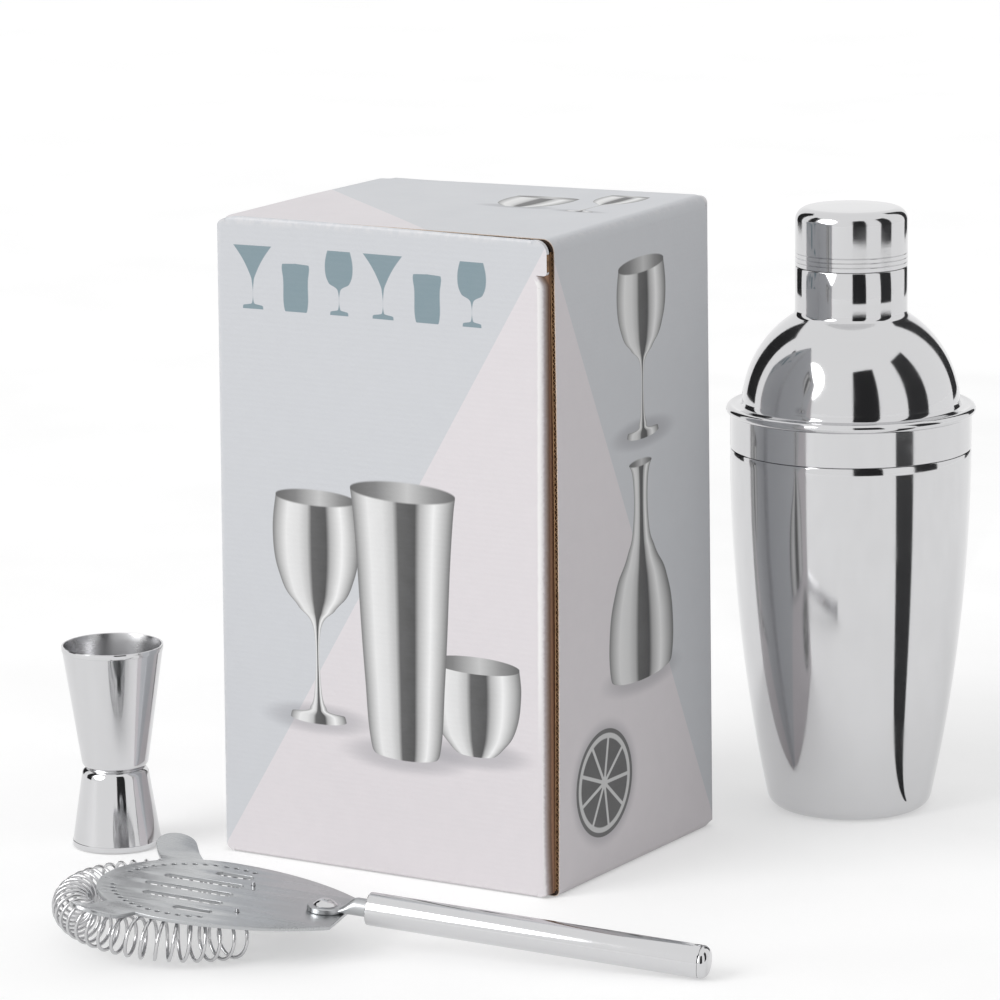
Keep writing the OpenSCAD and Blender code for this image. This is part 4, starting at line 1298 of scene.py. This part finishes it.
def wire_line(steps=26):
    """The middle of the wire, with so many points to a turn."""
    line = []
    count = int(COIL_TURNS * steps - steps / 4)
    for q in np.arange(count + 1) / count:
        a = math.radians(COIL_FROM + (COIL_TO - COIL_FROM) * q)
        p = math.radians(180.0 + (360.0 * COIL_TURNS - 90.0) * q)
        out = COIL_RING_R + COIL_TURN_R * math.cos(p)
        line.append((COIL_X + out * math.cos(a), out * math.sin(a), COIL_Z + COIL_TURN_R * math.sin(p)))
    first, last = line[0], line[-1]
    head = [(first[0], first[1], z) for z in (WIRE_TOP, PLATE_T, 0.0, -2.5, -5.0)]
    end = math.radians(COIL_TO)
    tail = []
    for b in np.radians((30.0, 60.0, 90.0)):
        back = HOOK_R * math.sin(b)
        rise = HOOK_R * (1.0 - math.cos(b))
        tail.append((last[0] - back * math.cos(end), last[1] - back * math.sin(end), last[2] + rise))
    tail += [(tail[-1][0], tail[-1][1], z) for z in (PLATE_T, WIRE_TOP)]
    return np.array(head + line + tail)


def wire(line, radius, sides=9):
    """A round wire along a line. Its section is carried along without twist."""
    mesh = new_mesh()
    along = np.gradient(line, axis=0)
    along /= np.linalg.norm(along, axis=1)[:, None]
    run = np.concatenate(([0.0], np.cumsum(np.linalg.norm(np.diff(line, axis=0), axis=1))))
    turns = np.linspace(0.0, 2.0 * np.pi, sides, endpoint=False)
    across = np.cross(along[0], (0.3, 0.5, 0.8))
    rows, spots = [], []
    for point, way, s in zip(line, along, run):
        across = across - way * np.dot(across, way)
        across /= np.linalg.norm(across)
        third = np.cross(way, across)
        rows.append([point + radius * (math.cos(t) * across + math.sin(t) * third) for t in turns])
        spots.append([(s, radius * t) for t in turns])
    grid(mesh, np.array(rows), 0, np.array(spots), True)
    for end in (rows[0], rows[-1]):
        grid(mesh, np.array([end, [np.mean(end, axis=0)] * sides]), 0, None, True)
    return mesh


def strainer_piece(name, mesh, place, material, slot, node, crisp=38.0):
    """Move a piece from its own axes to where it lies, and let it ride with the strainer."""
    mesh["points"] = [tuple((place @ (Vector(p) * MM)) / MM) for p in mesh["points"]]
    put(make_object(name, mesh, (material,), crisp), "strainer", slot, node)


strainer_piece("coil_spring_wire", wire(wire_line(), WIRE_R), STRAINER, wire_steel, "spring_steel",
               "coil_spring", 60.0)

# Handle of the strainer
# A forged tang with a flat eye is riveted to the tail of the plate, and its shank fills the end of a tube.
# The far end of the drawn tube is closed by a pressed-in rounded plug.

EYE = (43.6, 0.0)
EYE_R = 6.0
EYE_BORE = 2.1
EYE_TOP = 3.2
EYE_SOFT = 0.3
TUBE_Z = 4.2
TUBE_R = 5.5
TUBE_BORE = 4.7
TUBE_FROM = 58.6
TUBE_TO = 170.6
SHANK_R = 3.0
SHANK_FROM = 47.6
PLUG_R = 4.5
PLUG_IN = 11.0
HEAD_R = 5.0  # round of the rivet's head
HEAD_TOP = 5.2
HEAD_HALF = 4.0  # both heads
RIVET_R = 2.0
ON_HANDLE = STRAINER @ Matrix.Translation((0.0, 0.0, TUBE_Z * MM)) @ Matrix.Rotation(math.pi / 2.0, 4, "Y")


def tang():
    """The eye, and the shank as sections with their place, half width, lowest and highest point."""
    bevel = EYE_SOFT / 2.0
    eye = [(EYE_BORE, PLATE_T + bevel), (EYE_BORE + bevel, PLATE_T), (EYE_R - EYE_SOFT, PLATE_T)]
    eye += [(EYE_R, PLATE_T + EYE_SOFT), (EYE_R, EYE_TOP - EYE_SOFT), (EYE_R - EYE_SOFT, EYE_TOP)]
    eye += [(EYE_BORE + bevel, EYE_TOP), (EYE_BORE, EYE_TOP - bevel), eye[0]]
    mesh = turned(eye, EYE, None, 60)
    turns = np.linspace(0.0, 2.0 * np.pi, 40, endpoint=False)
    sections = [(SHANK_FROM, SHANK_R - 0.1, PLATE_T + 0.05, EYE_TOP - 0.05),
                (SHANK_FROM + 1.6, SHANK_R - 0.05, PLATE_T + 0.02, EYE_TOP + 0.2)]
    sections += [(SHANK_FROM + run, SHANK_R, PLATE_T, EYE_TOP + rise)
                 for run, rise in ((3.2, 1.4), (4.8, 3.0), (6.0, 3.75))]
    sections += [(TUBE_FROM + run, r, TUBE_Z - r, TUBE_Z + r)
                 for run, r in ((-4.0, SHANK_R), (-0.6, SHANK_R), (-0.2, 3.4), (0.3, 4.4), (3.4, 4.4))]
    rows, spots = [], []
    for number, (x, wide, low, high) in enumerate(sections):
        mid, half = (low + high) / 2.0, (high - low) / 2.0
        rows.append([(x, wide * math.cos(t), mid + half * math.sin(t)) for t in turns])
        spots.append([(number * 2.0, float(k)) for k in range(len(turns))])
    grid(mesh, np.array(rows), 0, np.array(spots), True)
    grid(mesh, np.array([rows[0], [np.mean(rows[0], axis=0)] * len(turns)]), 0, None, True)
    return mesh


strainer_piece("tang_forging", tang(), STRAINER, satin_steel, "satin_steel", "handle_tang")
rivet = [(0.0, HEAD_TOP)]
rivet += [(r, HEAD_TOP - HEAD_R + math.sqrt(HEAD_R ** 2 - r * r))
          for r in np.linspace(0.6, HEAD_HALF - 0.2, 8)]
rivet += [(HEAD_HALF, EYE_TOP + 0.15), (HEAD_HALF - 0.1, EYE_TOP), (RIVET_R, EYE_TOP), (RIVET_R, 0.0)]
rivet += [(HEAD_HALF, 0.0), (HEAD_HALF, -0.6), (HEAD_HALF - 0.4, -1.0), (0.0, -1.0)]
strainer_piece("tang_rivet_head", turned(rivet, EYE, None, 60), STRAINER, mirror_steel, "satin_steel",
               "tang_rivet")
barrel = [(TUBE_BORE, TUBE_FROM + 0.3), (TUBE_BORE + 0.05, TUBE_FROM), (TUBE_R - 0.3, TUBE_FROM)]
barrel += [(TUBE_R - 0.08, TUBE_FROM + 0.15), (TUBE_R, TUBE_FROM + 0.4), (TUBE_R, TUBE_TO - 2.6)]
barrel += [(TUBE_R, TUBE_TO - 0.3), (TUBE_R - 0.1, TUBE_TO - 0.05), (TUBE_BORE, TUBE_TO), barrel[0]]
strainer_piece("handle_tube_barrel", turned(barrel, (0.0, 0.0), None, 72), ON_HANDLE, mirror_steel,
               "polished_steel", "handle_tube")
plug = [(0.0, TUBE_TO - PLUG_IN), (PLUG_R, TUBE_TO - PLUG_IN), (PLUG_R, TUBE_TO + 0.02)]
plug += [(TUBE_R - 0.12, TUBE_TO + 0.06), (TUBE_R, TUBE_TO + 0.25)]
plug += arc(TUBE_R / 2.0, TUBE_TO + 0.25, TUBE_R / 2.0, 4.0, 90.0, 10)
plug += [(0.0, TUBE_TO + 0.27 + TUBE_R / 2.0)]
strainer_piece("handle_end_cap", turned(plug, (0.0, 0.0), None, 72), ON_HANDLE, mirror_steel,
               "polished_steel", "handle_end_plug")

# Studio
# A wide pale table under one large soft lamp and an even sky. Dark boards stand and lie round the set.
# Only the polished steel shows them, as something dark to mirror.

TABLE_HALF = 9.0
FLAG_REACH = 1.6
FLAG_TALL = 1.8


def seen_ray(tree):
    path = tree.nodes.new("ShaderNodeLightPath").outputs
    kinds = ("Is Camera Ray", "Is Glossy Ray", "Is Transmission Ray")
    camera_ray, glossy_ray, clear_ray = (Field(tree, path[kind]) for kind in kinds)
    return calc("MAXIMUM", calc("MAXIMUM", camera_ray, glossy_ray), clear_ray)


def sheet(name, corners, material):
    data = bpy.data.meshes.new(name)
    data.from_pydata(corners, [], [(0, 1, 2, 3)])
    data.materials.append(material)
    made = bpy.data.objects.new(name, data)
    bpy.context.scene.collection.objects.link(made)
    return made


def away(turn, reach, height=0.0):
    a = math.radians(turn)
    return Vector((reach * math.cos(a), reach * math.sin(a), height))


table_paper, tree, shader = new_material("table_paper")
mottle = ease(noise(tree, 9.0, 4.0), 0.3, 0.7)
grey = blend_colour(mottle, (0.63, 0.63, 0.63, 1.0), (0.67, 0.67, 0.67, 1.0))
give(shader, Base_Color=grey, Roughness=0.8, Specular_IOR_Level=0.1, Emission_Color=(1.0, 1.0, 1.0, 1.0),
     Emission_Strength=seen_ray(tree) * 0.4)
square = ((-1.0, -1.0), (1.0, -1.0), (1.0, 1.0), (-1.0, 1.0))
table = sheet("table", [(TABLE_HALF * x, TABLE_HALF * y, 0.0) for x, y in square], table_paper)
table.location = (0.0, 0.0, -0.0004)

flag_cloth, tree, shader = new_material("flag_cloth")
black = blend_colour(noise(tree, 40.0), (0.012, 0.012, 0.013, 1.0), (0.03, 0.03, 0.032, 1.0))
give(shader, Base_Color=black, Roughness=0.95)
flags = []
for turn, wide in ((-42.0, 0.8), (15.0, 0.7), (80.0, 0.5), (160.0, 0.7), (205.0, 0.6)):
    low = [away(turn, FLAG_REACH) + away(turn + 90.0, side * wide / 2.0) for side in (-1.0, 1.0)]
    flags.append(low + [spot + Vector((0.0, 0.0, FLAG_TALL)) for spot in low[::-1]])
under_shaker = Vector((SHAKER[0] * MM, SHAKER[1] * MM, 0.0))
for turn, half in ((-12.0, 9.0), (118.0, 9.0)):
    flags.append([under_shaker + away(turn + side * half, reach, 0.002)
                  for reach, side in ((0.035, -0.1), (0.035, 0.1), (0.9, 1.0), (0.9, -1.0))])
for number, corners in enumerate(flags):
    flag = sheet("flag_%d" % number, corners, flag_cloth)
    for kind in ("camera", "diffuse", "shadow", "transmission", "volume_scatter"):
        setattr(flag, "visible_" + kind, False)

light = bpy.data.lights.new("key_lamp", "SUN")
light.angle = math.radians(38.0)
light.energy = 1.6
lamp = bpy.data.objects.new("key_lamp", light)
bpy.context.scene.collection.objects.link(lamp)
lamp.rotation_euler = Vector((-0.40, -0.75, 0.45)).to_track_quat("Z", "Y").to_euler()

world = bpy.data.worlds.new("studio")
bpy.context.scene.world = world
world.use_nodes = True
tree = world.node_tree
give(tree.nodes["Background"].inputs, Color=(1.0, 1.0, 1.0, 1.0),
     Strength=add_node(tree, "Mix", {0: seen_ray(tree), 2: 0.68, 3: 1.0}))

# Camera
# It stands at the place, and with the long lens, that were worked out from seven corners of the carton.
# The rows of its axes point right, up and back in the picture.

VIEW_RIGHT = (0.85927057, 0.51142107, -0.01012847)
VIEW_UP = (-0.09349296, 0.17648892, 0.9798524)
VIEW_BACK = (0.50290472, -0.84101139, 0.199466)
VIEW_FROM = (0.889284, -1.464814, 0.470280)
lens = bpy.data.cameras.new("photo_camera")
lens.lens = 180.0
lens.sensor_width = 36.0
lens.clip_end = 100.0
camera = bpy.data.objects.new("photo_camera", lens)
bpy.context.scene.collection.objects.link(camera)
axes = Matrix((VIEW_RIGHT, VIEW_UP, VIEW_BACK)).transposed()
camera.matrix_world = Matrix.Translation(VIEW_FROM) @ axes.to_4x4()
bpy.context.scene.camera = camera
bpy.context.scene.view_settings.view_transform = "Standard"
